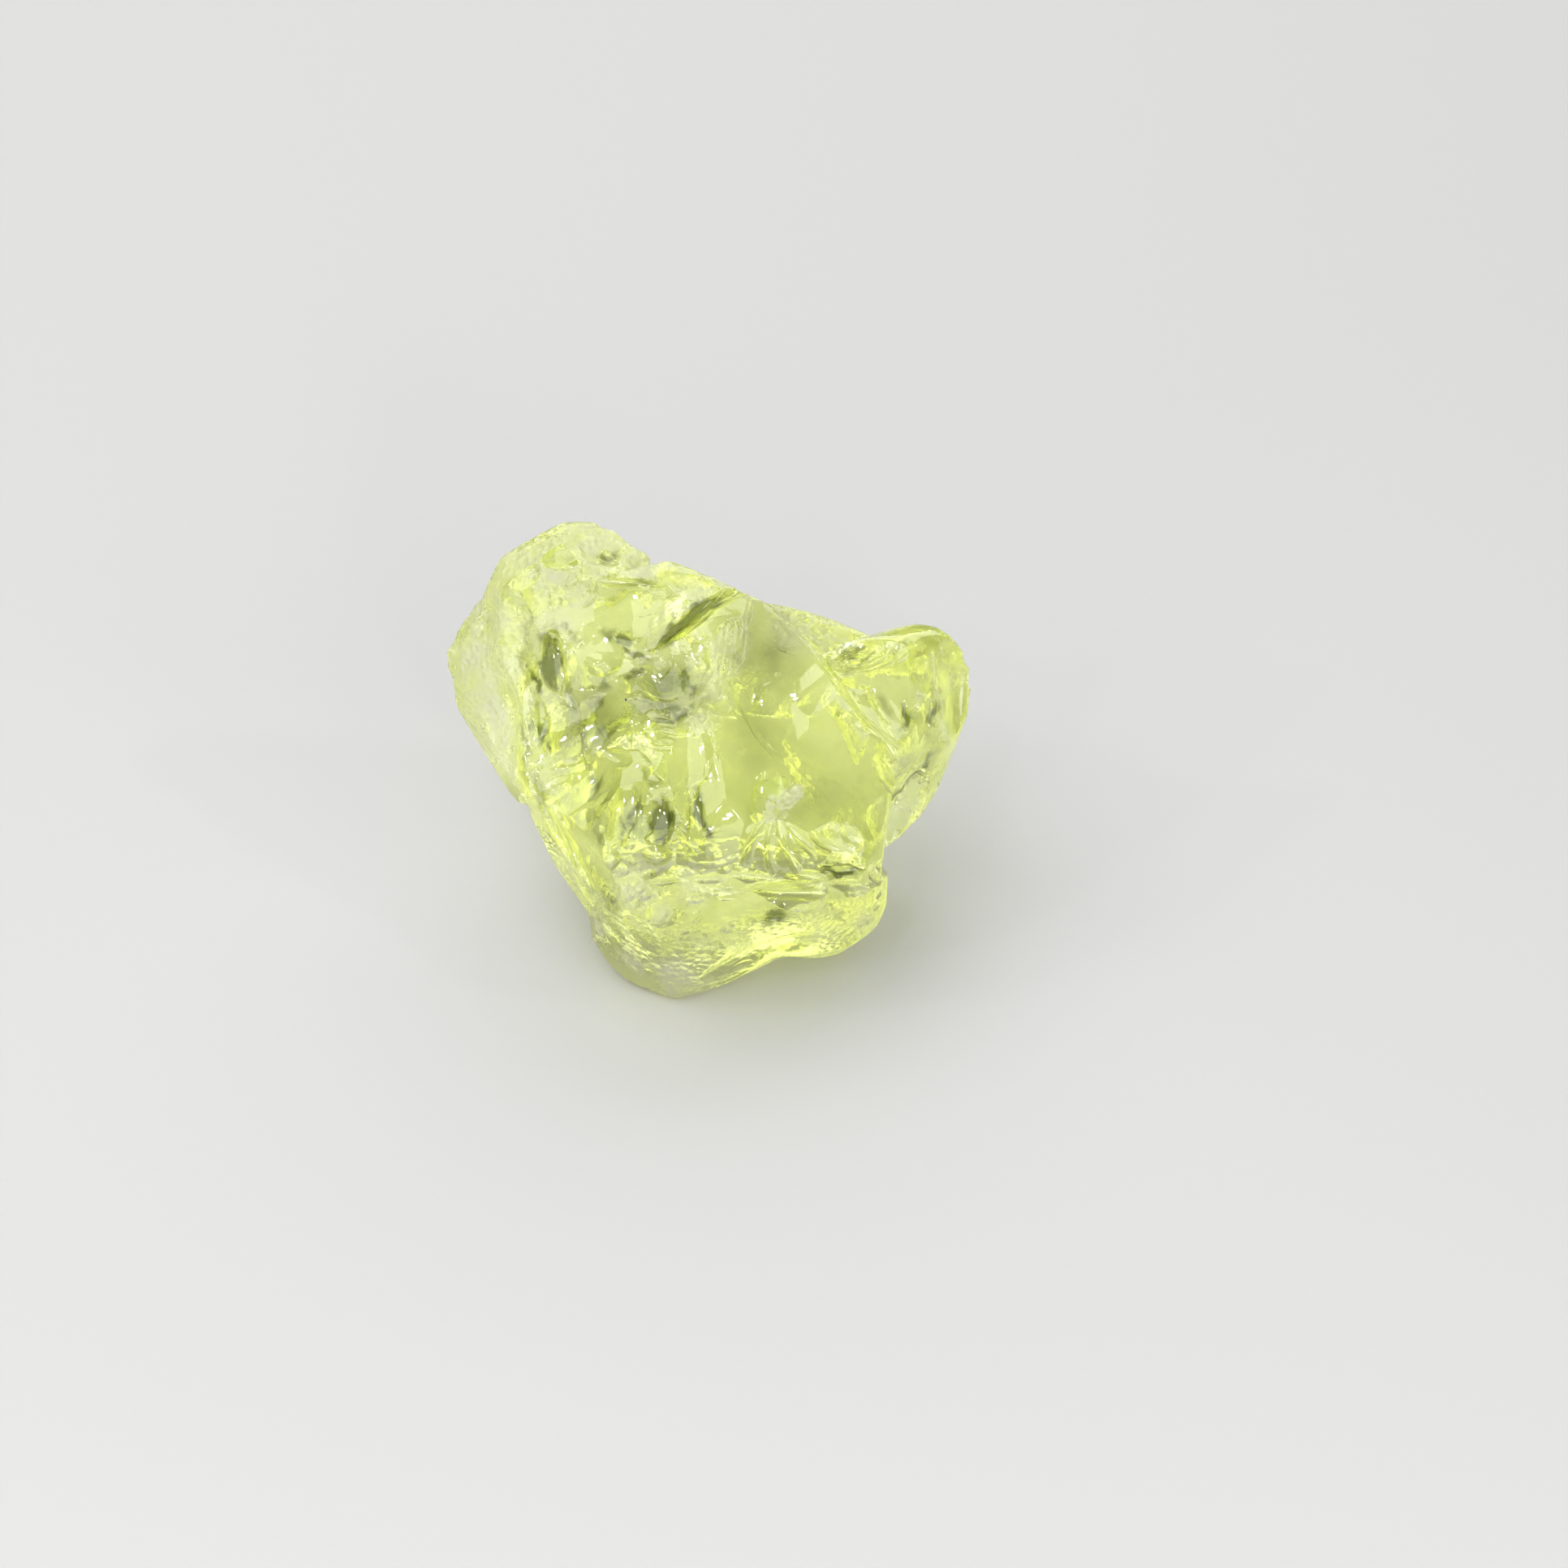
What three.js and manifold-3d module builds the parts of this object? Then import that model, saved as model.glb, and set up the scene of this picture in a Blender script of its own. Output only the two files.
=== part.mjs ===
// A rough piece of prasiolite: one broken lump of pale green quartz, 36 mm across.
// Millimetres, +Z up, standing on its flat fracture with the origin at the middle of its base.
//
// The lump is first built from rounded lobes that have grown into each other, each one the hull
// of a few corners. Shallow bowl-shaped scars are then broken out of it all round, the way glassy
// quartz breaks, so that their rims meet in sharp ridges. Last, its resting face is cut flat.

import * as THREE from "three";
import { ConvexGeometry } from "three/addons/geometries/ConvexGeometry.js";
import { mergeVertices } from "three/addons/utils/BufferGeometryUtils.js";
import Module from "manifold-3d";

const wasm = await Module();
wasm.setup();

// How the stone is looked at, from its best side and from the others
const LOOK_DOWN_DEG = 35; // how steeply its best side is looked down on
const LOOK_DISTANCE = 395; // from the eye to the middle of the stone
const SIDES = {
  // how steeply each is looked down on, and how far round the stone it lies, in degrees
  front: [LOOK_DOWN_DEG, 0],
  back: [0, 180],
  left: [0, -90],
  right: [0, 90],
  below: [-90, 0],
};

// The resting face
const RESTING_LEVEL = -12.8; // below the middle of the stone
const GROUND_SIZE = 100; // of the block that cuts it flat, well past the stone

// The scars
const SCAR_REACH = 2; // a scar's surface runs on this many times past its rim
const SCAR_FEEL = 0.65; // share of its half sizes at which a scar is laid along the stone
const SCAR_OPENING = 6; // how far above its rim a scar's cutter stands
const MESH_STEP = 1.3; // between the rings of a scar
const FEWEST_RINGS = 4;
const FEWEST_SPOKES = 12;
const MOST_SPOKES = 28;
const SPOKES_PER_MM = 5;
const STRIKE_PLACE = 0.95; // ripples spread from here, as a share of the way to the far rim
const RIPPLE_SHARE = 0.07; // height of a ripple as a share of the scar's depth

// The lobes. A corner is right, up and towards the eye from the middle of the stone, as it is
// seen from the front. A hidden corner is x, y and z from the middle, where it is out of sight.
const LOBES = {
  // The main mass: the big smooth face on the right, the broken hollow on the left.
  body: {
    corners: [
      [-6.5, -8.8, 7.0], [-3.0, -7.9, 8.3], [0.0, -8.2, 8.8], [5.0, -9.2, 8.2], [10.5, -8.2, 4.5],
      [11.3, -8.0, 3.0], [3.0, -4.4, 8.3], [9.5, -6.3, 5.5],
      [3.5, 10.7, 1.0], [5.5, 9.0, 2.0], [7.8, 6.3, 3.0], [9.5, 3.9, 3.6], [12.6, 0.4, 2.5],
      [10.8, -3.6, 3.0],
      [0.5, 12.2, 0.0], [-2.9, 13.6, -1.5], [-6.0, 13.0, 0.3], [-10.5, 10.5, 1.2],
      [-13.4, -0.6, 0.0], [-12.3, -4.0, 0.0], [-13.0, 5.0, 0.5], [-11.0, -6.8, -1.0],
      [-8.5, -10.5, 0.0],
    ],
    hidden: [
      [8, 8, 3], [-2, 15, 2], [-9, 13, -1], [8, 10, -5], [-8, 11, -8], [7, 8, -10],
      [11, 4, -8], [-11, 4, -7], [9, 5, -13], [-8, 6, -13],
    ],
  },
  // Under the ledge, on the left: the tip that the stone stands on.
  toe: {
    corners: [
      [-8.5, -10.5, 0.0], [-8.4, -12.0, 0.0], [-7.2, -13.9, -0.5], [-5.8, -15.1, 0.0],
      [-2.8, -16.35, 1.0], [0.5, -15.35, 0.3], [3.3, -13.8, 0.8], [4.1, -13.4, 1.0],
      [-6.5, -9.2, 6.8], [-1.0, -9.0, 8.4], [3.0, -9.6, 8.2],
      [-4.6, -12.2, 4.9], [-1.0, -12.4, 6.2], [1.6, -12.3, 6.0],
      [-3.4, -14.6, 3.4], [-0.6, -14.6, 3.9], [2.4, -13.3, 3.2],
    ],
    hidden: [[-6, 4, -14], [5, 5, -14], [-7, -2, -10], [6, -4, -13]],
  },
  // Under the ledge, on the right: a block with a scalloped end.
  heel: {
    corners: [
      [4.1, -13.4, 1.0], [6.2, -13.4, 0.8], [8.0, -13.05, 0.4], [9.3, -12.7, 0.0],
      [10.5, -11.9, -0.4], [11.2, -11.2, -0.6], [11.7, -10.0, -0.2], [11.9, -7.6, 1.5],
      [-2.0, -9.2, 8.3], [5.0, -9.8, 8.0], [10.8, -8.8, 4.5],
      [4.0, -11.6, 5.6], [8.0, -11.0, 4.4], [-1.0, -12.2, 5.9], [10.4, -10.4, 2.8],
    ],
    hidden: [[2, 5, -14], [9, 4, -14], [8, -4, -14], [0, -6, -12]],
  },
  // The highest lobe, at the back on the left.
  crown: {
    corners: [
      [-14.3, 13.9, -4.0], [-13.0, 14.7, -4.0], [-12.1, 14.9, -4.0], [-10.6, 16.0, -4.0],
      [-9.9, 16.25, -4.0], [-7.4, 16.25, -4.0], [-6.2, 15.9, -4.0], [-5.1, 15.0, -3.5],
      [-3.9, 13.8, -3.0], [-15.0, 12.6, -4.5], [-15.6, 11.2, -5.0],
      [-13.6, 11.0, -0.6], [-10.5, 13.0, 0.2], [-7.0, 13.6, 0.2], [-13.8, 5.0, 0.2],
      [-13.0, 1.0, 0.5], [-10.0, 3.0, 1.6],
    ],
    hidden: [[-7, 16, 5], [-12, 15, 3], [-9, 15, -3], [-13, 10, -4], [-4, 15, 2]],
  },
  // The overhanging lobe on the left.
  flank: {
    corners: [
      [-14.6, -0.1, -5.0], [-15.5, 0.8, -5.5], [-16.8, 2.8, -6.0], [-17.7, 4.3, -6.5],
      [-18.0, 6.3, -7.0], [-18.05, 7.5, -7.0], [-17.6, 8.3, -6.5], [-16.8, 9.7, -6.0],
      [-15.6, 11.2, -5.5],
      [-12.6, 5.0, 0.4], [-13.0, 1.0, -0.4], [-13.0, 9.5, -0.2], [-13.4, -0.4, -1.6],
    ],
    hidden: [[-15, 12, 1], [-16, 8, -1], [-13, 3, -7], [-12, 9, -5], [-9, 4, -8]],
  },
  // The overhanging lobe on the right, lower than the big face beside it.
  wing: {
    corners: [
      [10.9, 8.3, -5.0], [12.3, 8.85, -5.0], [14.1, 9.15, -5.0], [15.2, 8.95, -5.0],
      [16.4, 8.2, -5.5], [17.2, 7.0, -6.0], [17.8, 5.9, -6.5], [18.05, 4.7, -7.0],
      [17.7, 3.9, -7.0], [16.8, 1.7, -7.0], [16.0, -0.3, -7.5], [15.1, -2.5, -8.5],
      [14.0, -4.1, -9.0], [12.8, -5.4, -9.5], [11.4, -6.5, -10.0],
      [14.3, 8.4, -2.8], [14.1, 5.0, -0.2], [13.5, 1.5, 0.6], [12.2, -1.5, 0.0],
      [7.6, 7.4, 1.4], [10.5, 2.6, 3.2], [12.5, 0.2, 2.4], [15.8, 1.0, -3.6],
    ],
    hidden: [[13, 12, -1], [9, 12, -4], [15, 7, -6], [10, 2, -8], [12, 8, -8]],
  },
  // The low saddle behind the big face, between the crown and the wing.
  saddle: {
    corners: [
      [3.5, 10.6, -2.0], [5.0, 10.35, -4.0], [6.3, 10.05, -4.5], [8.0, 9.5, -5.0],
      [9.5, 8.8, -5.0], [10.9, 8.3, -5.0], [-2.0, 11.5, -3.0], [4.0, 3.0, 0.0],
      [10.0, 5.0, -3.0],
    ],
    hidden: [[2, 16, 1], [9, 14, -1], [-4, 14, -4], [8, 12, -7], [-4, 12, -8]],
  },
};

// The scars, in the order they broke. at is right and up of the middle of the stone as that side
// is seen, wide and tall are half sizes, turn leans the tall way to the left in degrees, and deep
// is how far the middle lies under the rim. Some have ripples, counted from the strike place.
const SCARS = [
  // the big smooth face, and the rippled hollow beside its long ridge
  { at: [5.8, 2.2], wide: 6.0, tall: 9.6, turn: 22, deep: 0.6 },
  { at: [11.2, 4.8], wide: 3.0, tall: 5.6, turn: 32, deep: 0.9, ripples: 6 },
  // the broken hollow on the left
  { at: [-3.2, 6.2], wide: 4.4, tall: 3.4, turn: 15, deep: 1.3 },
  { at: [-8.8, 6.8], wide: 3.6, tall: 4.0, turn: 10, deep: 1.1 },
  { at: [-6.4, 1.6], wide: 4.6, tall: 3.4, turn: -15, deep: 1.2 },
  { at: [-1.8, -0.6], wide: 2.6, tall: 5.6, turn: 12, deep: 0.9 },
  { at: [-5.2, -4.2], wide: 3.6, tall: 3.8, turn: 0, deep: 0.9 },
  { at: [-11.0, 1.4], wide: 2.2, tall: 3.6, turn: 12, deep: 0.5 },
  // the long strips down the left edge
  { at: [-9.6, -3.6], wide: 2.2, tall: 4.8, turn: 35, deep: 0.7 },
  { at: [-8.0, -7.4], wide: 1.5, tall: 4.2, turn: 32, deep: 0.5 },
  // the lumpy crown and the top edge
  { at: [-5.6, 10.6], wide: 3.6, tall: 2.6, turn: 0, deep: 0.7 },
  { at: [-10.4, 11.4], wide: 3.2, tall: 3.4, turn: 30, deep: 0.6 },
  { at: [-12.9, 8.0], wide: 2.2, tall: 3.8, turn: -5, deep: 0.5 },
  { at: [-7.6, 14.2], wide: 3.6, tall: 1.9, turn: -5, deep: 0.5 },
  { at: [-1.4, 11.4], wide: 4.2, tall: 1.6, turn: -25, deep: 0.5 },
  // the narrow cleft, and the small ribbed shell at its foot
  { at: [-1.4, 9.5], wide: 0.7, tall: 3.8, turn: -52, deep: 0.8 },
  { at: [1.2, 7.4], wide: 1.2, tall: 2.1, turn: -8, deep: 0.4, ripples: 4 },
  // chips along the ledge, above it and on its lip
  { at: [-0.2, -5.6], wide: 3.2, tall: 2.3, turn: 15, deep: 0.6 },
  { at: [4.4, -6.2], wide: 3.4, tall: 2.0, turn: -12, deep: 0.7 },
  { at: [8.4, -6.4], wide: 2.6, tall: 1.6, turn: -20, deep: 0.5 },
  { at: [-5.0, -8.7], wide: 1.9, tall: 1.1, turn: 10, deep: 0.5 },
  { at: [4.6, -9.0], wide: 2.8, tall: 0.8, turn: 0, deep: 0.5 },
  // the outer faces of the flank, the wing and the foot
  { at: [-15.0, 3.0], wide: 1.2, tall: 3.0, turn: 25, deep: 0.3 },
  { at: [-15.6, 8.2], wide: 1.7, tall: 3.4, turn: -20, deep: 0.4 },
  { at: [16.0, 5.4], wide: 1.9, tall: 3.8, turn: -5, deep: 0.5 },
  { at: [13.6, -2.4], wide: 1.2, tall: 3.6, turn: -42, deep: 0.3 },
  { at: [1.8, -13.6], wide: 3.4, tall: 1.4, turn: 20, deep: 0.4 },
  // the sides out of sight
  { side: "back", at: [-9, 0], wide: 5.0, tall: 3.6, turn: 20, deep: 0.9, ripples: 5 },
  { side: "back", at: [9, 4], wide: 4.4, tall: 5.0, turn: 10, deep: 1.0 },
  { side: "back", at: [1, 6], wide: 5.5, tall: 3.8, turn: 0, deep: 0.8 },
  { side: "back", at: [1, -3], wide: 6.5, tall: 5.0, turn: 10, deep: 1.0 },
  { side: "back", at: [-7, -7], wide: 4.8, tall: 4.6, turn: 30, deep: 0.8 },
  { side: "back", at: [8, -6], wide: 4.4, tall: 3.6, turn: -30, deep: 0.7 },
  { side: "left", at: [3, 1], wide: 3.4, tall: 4.4, turn: 20, deep: 0.8 },
  { side: "left", at: [-3, -7.5], wide: 3.4, tall: 2.6, turn: 30, deep: 0.6, ripples: 4 },
  { side: "right", at: [0.5, -7.5], wide: 2.6, tall: 3.2, turn: -10, deep: 0.5 },
  { side: "right", at: [7, 0], wide: 3.0, tall: 3.0, turn: 10, deep: 0.5 },
  { side: "below", at: [-9, -6], wide: 4.5, tall: 5.6, turn: 10, deep: 0.8 },
  { side: "below", at: [6.5, -8.5], wide: 3.4, tall: 3.0, turn: 10, deep: 0.6 },
];

// Right, up and towards the eye on one side of the stone, turned into the stone's own axes.
function turned([right, up, nearer], side = "front") {
  const [down, round] = SIDES[side].map(THREE.MathUtils.degToRad);
  return new THREE.Vector3(
    right,
    up * Math.sin(down) - nearer * Math.cos(down),
    up * Math.cos(down) + nearer * Math.sin(down),
  ).applyAxisAngle(new THREE.Vector3(0, 0, 1), round);
}

// A corner where it really is. What is nearer the eye looks larger, so it is really smaller.
function seen([right, up, nearer]) {
  const shrink = (LOOK_DISTANCE - nearer) / LOOK_DISTANCE;
  return turned([right * shrink, up * shrink, nearer]);
}

function solidOf(geometry) {
  const bare = geometry.clone();
  bare.deleteAttribute("normal");
  bare.deleteAttribute("uv");
  const merged = mergeVertices(bare);
  return new wasm.Manifold(
    new wasm.Mesh({
      numProp: 3,
      vertProperties: merged.attributes.position.array,
      triVerts: new Uint32Array(merged.index.array),
    }),
  );
}

function geometryOf(solid) {
  const mesh = solid.getMesh();
  const positions = new THREE.BufferAttribute(new Float32Array(mesh.vertProperties), 3);
  return new THREE.BufferGeometry()
    .setAttribute("position", positions)
    .setIndex(new THREE.BufferAttribute(new Uint32Array(mesh.triVerts), 1));
}

// The cutter of a scar: a bowl that opens along +Z with its rim at height nought, closed over
// by a steep roof. Its rings of corners are staggered.
function bowl({ wide, tall, deep, ripples = 0 }) {
  const largest = SCAR_REACH * Math.max(wide, tall);
  const rings = Math.max(FEWEST_RINGS, Math.round(largest / MESH_STEP));
  const wanted = Math.round((SPOKES_PER_MM * (wide + tall)) / 2);
  const spokes = THREE.MathUtils.clamp(wanted, FEWEST_SPOKES, MOST_SPOKES);

  const heightAt = (u, v) => {
    const fromStrike = Math.hypot(u, v - STRIKE_PLACE);
    const ripple = ripples ? RIPPLE_SHARE * deep * Math.cos(fromStrike * ripples * Math.PI) : 0;
    return deep * (u * u + v * v - 1) + ripple;
  };

  const positions = [0, 0, heightAt(0, 0)];
  for (let ring = 1; ring <= rings; ring++) {
    const out = (ring / rings) * SCAR_REACH;
    for (let spoke = 0; spoke < spokes; spoke++) {
      const angle = ((spoke + (ring % 2) / 2) / spokes) * 2 * Math.PI;
      const [u, v] = [out * Math.cos(angle), out * Math.sin(angle)];
      positions.push(u * wide, v * tall, heightAt(u, v));
    }
  }
  const roof = positions.length / 3;
  positions.push(0, 0, deep * SCAR_REACH * SCAR_REACH + SCAR_OPENING);

  const corner = (ring, spoke) => 1 + (ring - 1) * spokes + (spoke % spokes);
  const faces = [];
  for (let spoke = 0; spoke < spokes; spoke++) {
    faces.push(0, corner(1, spoke + 1), corner(1, spoke));
    for (let ring = 1; ring < rings; ring++) {
      const stagger = ring % 2;
      const [a, b] = [corner(ring, spoke), corner(ring, spoke + 1)];
      const [c, d] = [corner(ring + 1, spoke + stagger), corner(ring + 1, spoke + stagger + 1)];
      if (stagger) {
        faces.push(a, b, c, b, d, c);
      } else {
        faces.push(a, b, d, a, d, c);
      }
    }
    faces.push(corner(rings, spoke), corner(rings, spoke + 1), roof);
  }
  return new THREE.BufferGeometry()
    .setAttribute("position", new THREE.Float32BufferAttribute(positions, 3))
    .setIndex(faces);
}

// Where the line of sight through a point first meets the stone.
function meet(skin, right, up, side) {
  const eye = turned([0, 0, LOOK_DISTANCE], side);
  const ahead = turned([right, up, 0], side).sub(eye).normalize();
  const [hit] = new THREE.Raycaster(eye, ahead).intersectObject(skin);
  if (!hit) throw new Error(`a scar at ${right}, ${up} is off the ${side} of the stone`);
  return hit.point;
}

// A scar lies along the stone: the plane of its rim goes through four points felt around it.
function broken(solid, scar) {
  const { side = "front", at, wide, tall, turn } = scar;
  const skin = new THREE.Mesh(geometryOf(solid), new THREE.MeshBasicMaterial());
  const lean = THREE.MathUtils.degToRad(turn);
  const feel = (across, along) => {
    const [u, v] = [across * SCAR_FEEL * wide, along * SCAR_FEEL * tall];
    const right = at[0] + u * Math.cos(lean) - v * Math.sin(lean);
    const up = at[1] + u * Math.sin(lean) + v * Math.cos(lean);
    return meet(skin, right, up, side);
  };
  const [east, west, north, south] = [feel(1, 0), feel(-1, 0), feel(0, 1), feel(0, -1)];
  const outward = east.clone().sub(west).cross(north.clone().sub(south)).normalize();
  const tallWay = north.clone().sub(south).normalize();
  const middle = east.clone().add(west).add(north).add(south).divideScalar(4);
  const lie = new THREE.Matrix4().makeBasis(tallWay.clone().cross(outward), tallWay, outward);
  return solid.subtract(solidOf(bowl(scar).applyMatrix4(lie.setPosition(middle))));
}

let stone = wasm.Manifold.union(
  Object.values(LOBES).map(({ corners, hidden }) => {
    const points = [...corners.map(seen), ...hidden.map((at) => new THREE.Vector3(...at))];
    return solidOf(new ConvexGeometry(points));
  }),
);
for (const scar of SCARS) {
  stone = broken(stone, scar);
}

const ground = new THREE.BoxGeometry(GROUND_SIZE, GROUND_SIZE, GROUND_SIZE);
ground.translate(0, 0, RESTING_LEVEL - GROUND_SIZE / 2);
stone = stone.subtract(solidOf(ground));

// Splinters that the scars cut loose have fallen away.
const larger = (one, other) => (one.volume() > other.volume() ? one : other);
stone = stone.decompose().reduce(larger);

const geometry = geometryOf(stone);
geometry.computeBoundingBox();
const base = geometry.boundingBox.getCenter(new THREE.Vector3());
base.z = geometry.boundingBox.min.z;
geometry.translate(-base.x, -base.y, -base.z);

const quartz = new THREE.MeshStandardMaterial({ color: 0xdde8a0, roughness: 0.15, metalness: 0 });

const prasiolite = new THREE.Mesh(geometry, quartz);
prasiolite.name = "prasiolite";

const stoneGroup = new THREE.Group();
stoneGroup.name = "raw_prasiolite";
stoneGroup.add(prasiolite);

export default stoneGroup;
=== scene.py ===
# A rough lump of prasiolite: clear yellow-green quartz, broken all round, on a pale studio floor.
# Lengths are in millimetres until a mesh is finished, and are then scaled to metres.
import math

import bpy
import numpy as np
from mathutils import Matrix, Vector
from mathutils.bvhtree import BVHTree
from mathutils.kdtree import KDTree


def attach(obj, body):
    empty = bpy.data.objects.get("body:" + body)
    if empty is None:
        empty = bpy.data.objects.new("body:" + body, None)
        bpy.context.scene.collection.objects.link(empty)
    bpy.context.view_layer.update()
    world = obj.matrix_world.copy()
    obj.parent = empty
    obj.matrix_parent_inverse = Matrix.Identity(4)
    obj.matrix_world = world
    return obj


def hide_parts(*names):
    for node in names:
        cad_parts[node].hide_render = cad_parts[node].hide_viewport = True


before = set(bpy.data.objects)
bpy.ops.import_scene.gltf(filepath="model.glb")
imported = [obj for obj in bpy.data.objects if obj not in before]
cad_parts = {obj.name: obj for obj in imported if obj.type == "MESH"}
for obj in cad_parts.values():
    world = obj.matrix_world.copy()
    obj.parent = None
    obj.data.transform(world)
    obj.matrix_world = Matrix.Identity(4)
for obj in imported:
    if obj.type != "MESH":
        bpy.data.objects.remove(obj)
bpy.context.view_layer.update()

MM = 0.001

# Where the stone is looked at from
MIDDLE = np.array([0.22, -1.63, 12.8])  # the middle of the stone, from which places are measured
LOOK_DISTANCE = 395
MM_PER_PIXEL = 0.055  # of the picture, at the middle of the stone
PICTURE_SIDE = 1932
PICTURE_CENTRE = (4.785, -1.705)  # right and up of the middle of the stone
SENSOR = 36
SIDES = {
    # how steeply each is looked down on, and how far round the stone it lies, in degrees
    "front": (35, 0),
    "back": (15, 180),
    "left": (15, -90),
    "right": (15, 90),
    "above": (80, 0),
    "below": (-60, 0),
}

# The even surface that is broken further
VOXEL = 0.27  # size of its mesh
RIDGE_ANGLE = 0.36  # facets that differ by more than about this keep a crisp ridge between them
SMOOTHING_TURNS = 8  # of the facets' normals
SMOOTHING_MOVES = 10  # of the points, towards those facets
SHARP_ANGLE = math.radians(24)

# The cutter of a flake: a shallow bowl, closed over by a roof
REACH = 1.7  # how many times the flake's half size the bowl runs out to
OPENING = 1.6  # how far the roof rises over the bowl
FINEST_STEP = 0.16  # between the rings of the smallest flakes
STEP_SHARE = 0.21  # and as a share of the half size of larger ones
FEWEST_RINGS = 4
FEWEST_SPOKES = 12
MOST_SPOKES = 34
STRIKE_PLACE = 0.95  # ripples spread from here, as a share of the way to the far rim
RIPPLE_HEIGHT = 0.12  # as a share of the flake's depth, like the next
RIB_HEIGHT = 0.16
SKIN_SHARE = 0.8  # how much of the flake's size is felt to find the way it faces
MARK_HEIGHT = 0.35  # the flake's own surface is this near to its bowl, as a share of its depth
MARK_REACH = 1.4  # and within this many times the area of its rim

# Loose chips over the broken places
CHIP_SEED = 7
CHIP_SPREAD = 1.3  # the higher, the more of them are small
CHIP_SLIM = (0.4, 1.0)  # their width over their length
CHIP_DEPTH = (0.10, 0.20)  # over their length
CHIP_LEAN = 8  # degrees at most
CHIP_FLOOR = 1.0  # none lies lower than this, so that the stone still rests as it did
RIM_LARGEST = 0.55  # larger ones would change the outline, so they stay off it
RIM_FACING = 0.6  # skin that faces the eye less than this is at the outline

# Small chips along the sharpest ridges
RIDGE_CHIPS = 180
RIDGE_TURN = math.radians(26)  # least turn between two facets that makes a ridge
RIDGE_CHIP_SMALLEST = 0.25
RIDGE_CHIP_RANGE = 4.0  # the largest over the smallest
RIDGE_CHIP_SPREAD = 1.6
RIDGE_CHIP_SLIM = (0.5, 1.0)
RIDGE_CHIP_DEPTH = 0.16
RIDGE_CHIP_FLOOR = 0.8
RIDGE_CHIP_FROST = 0.5

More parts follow.
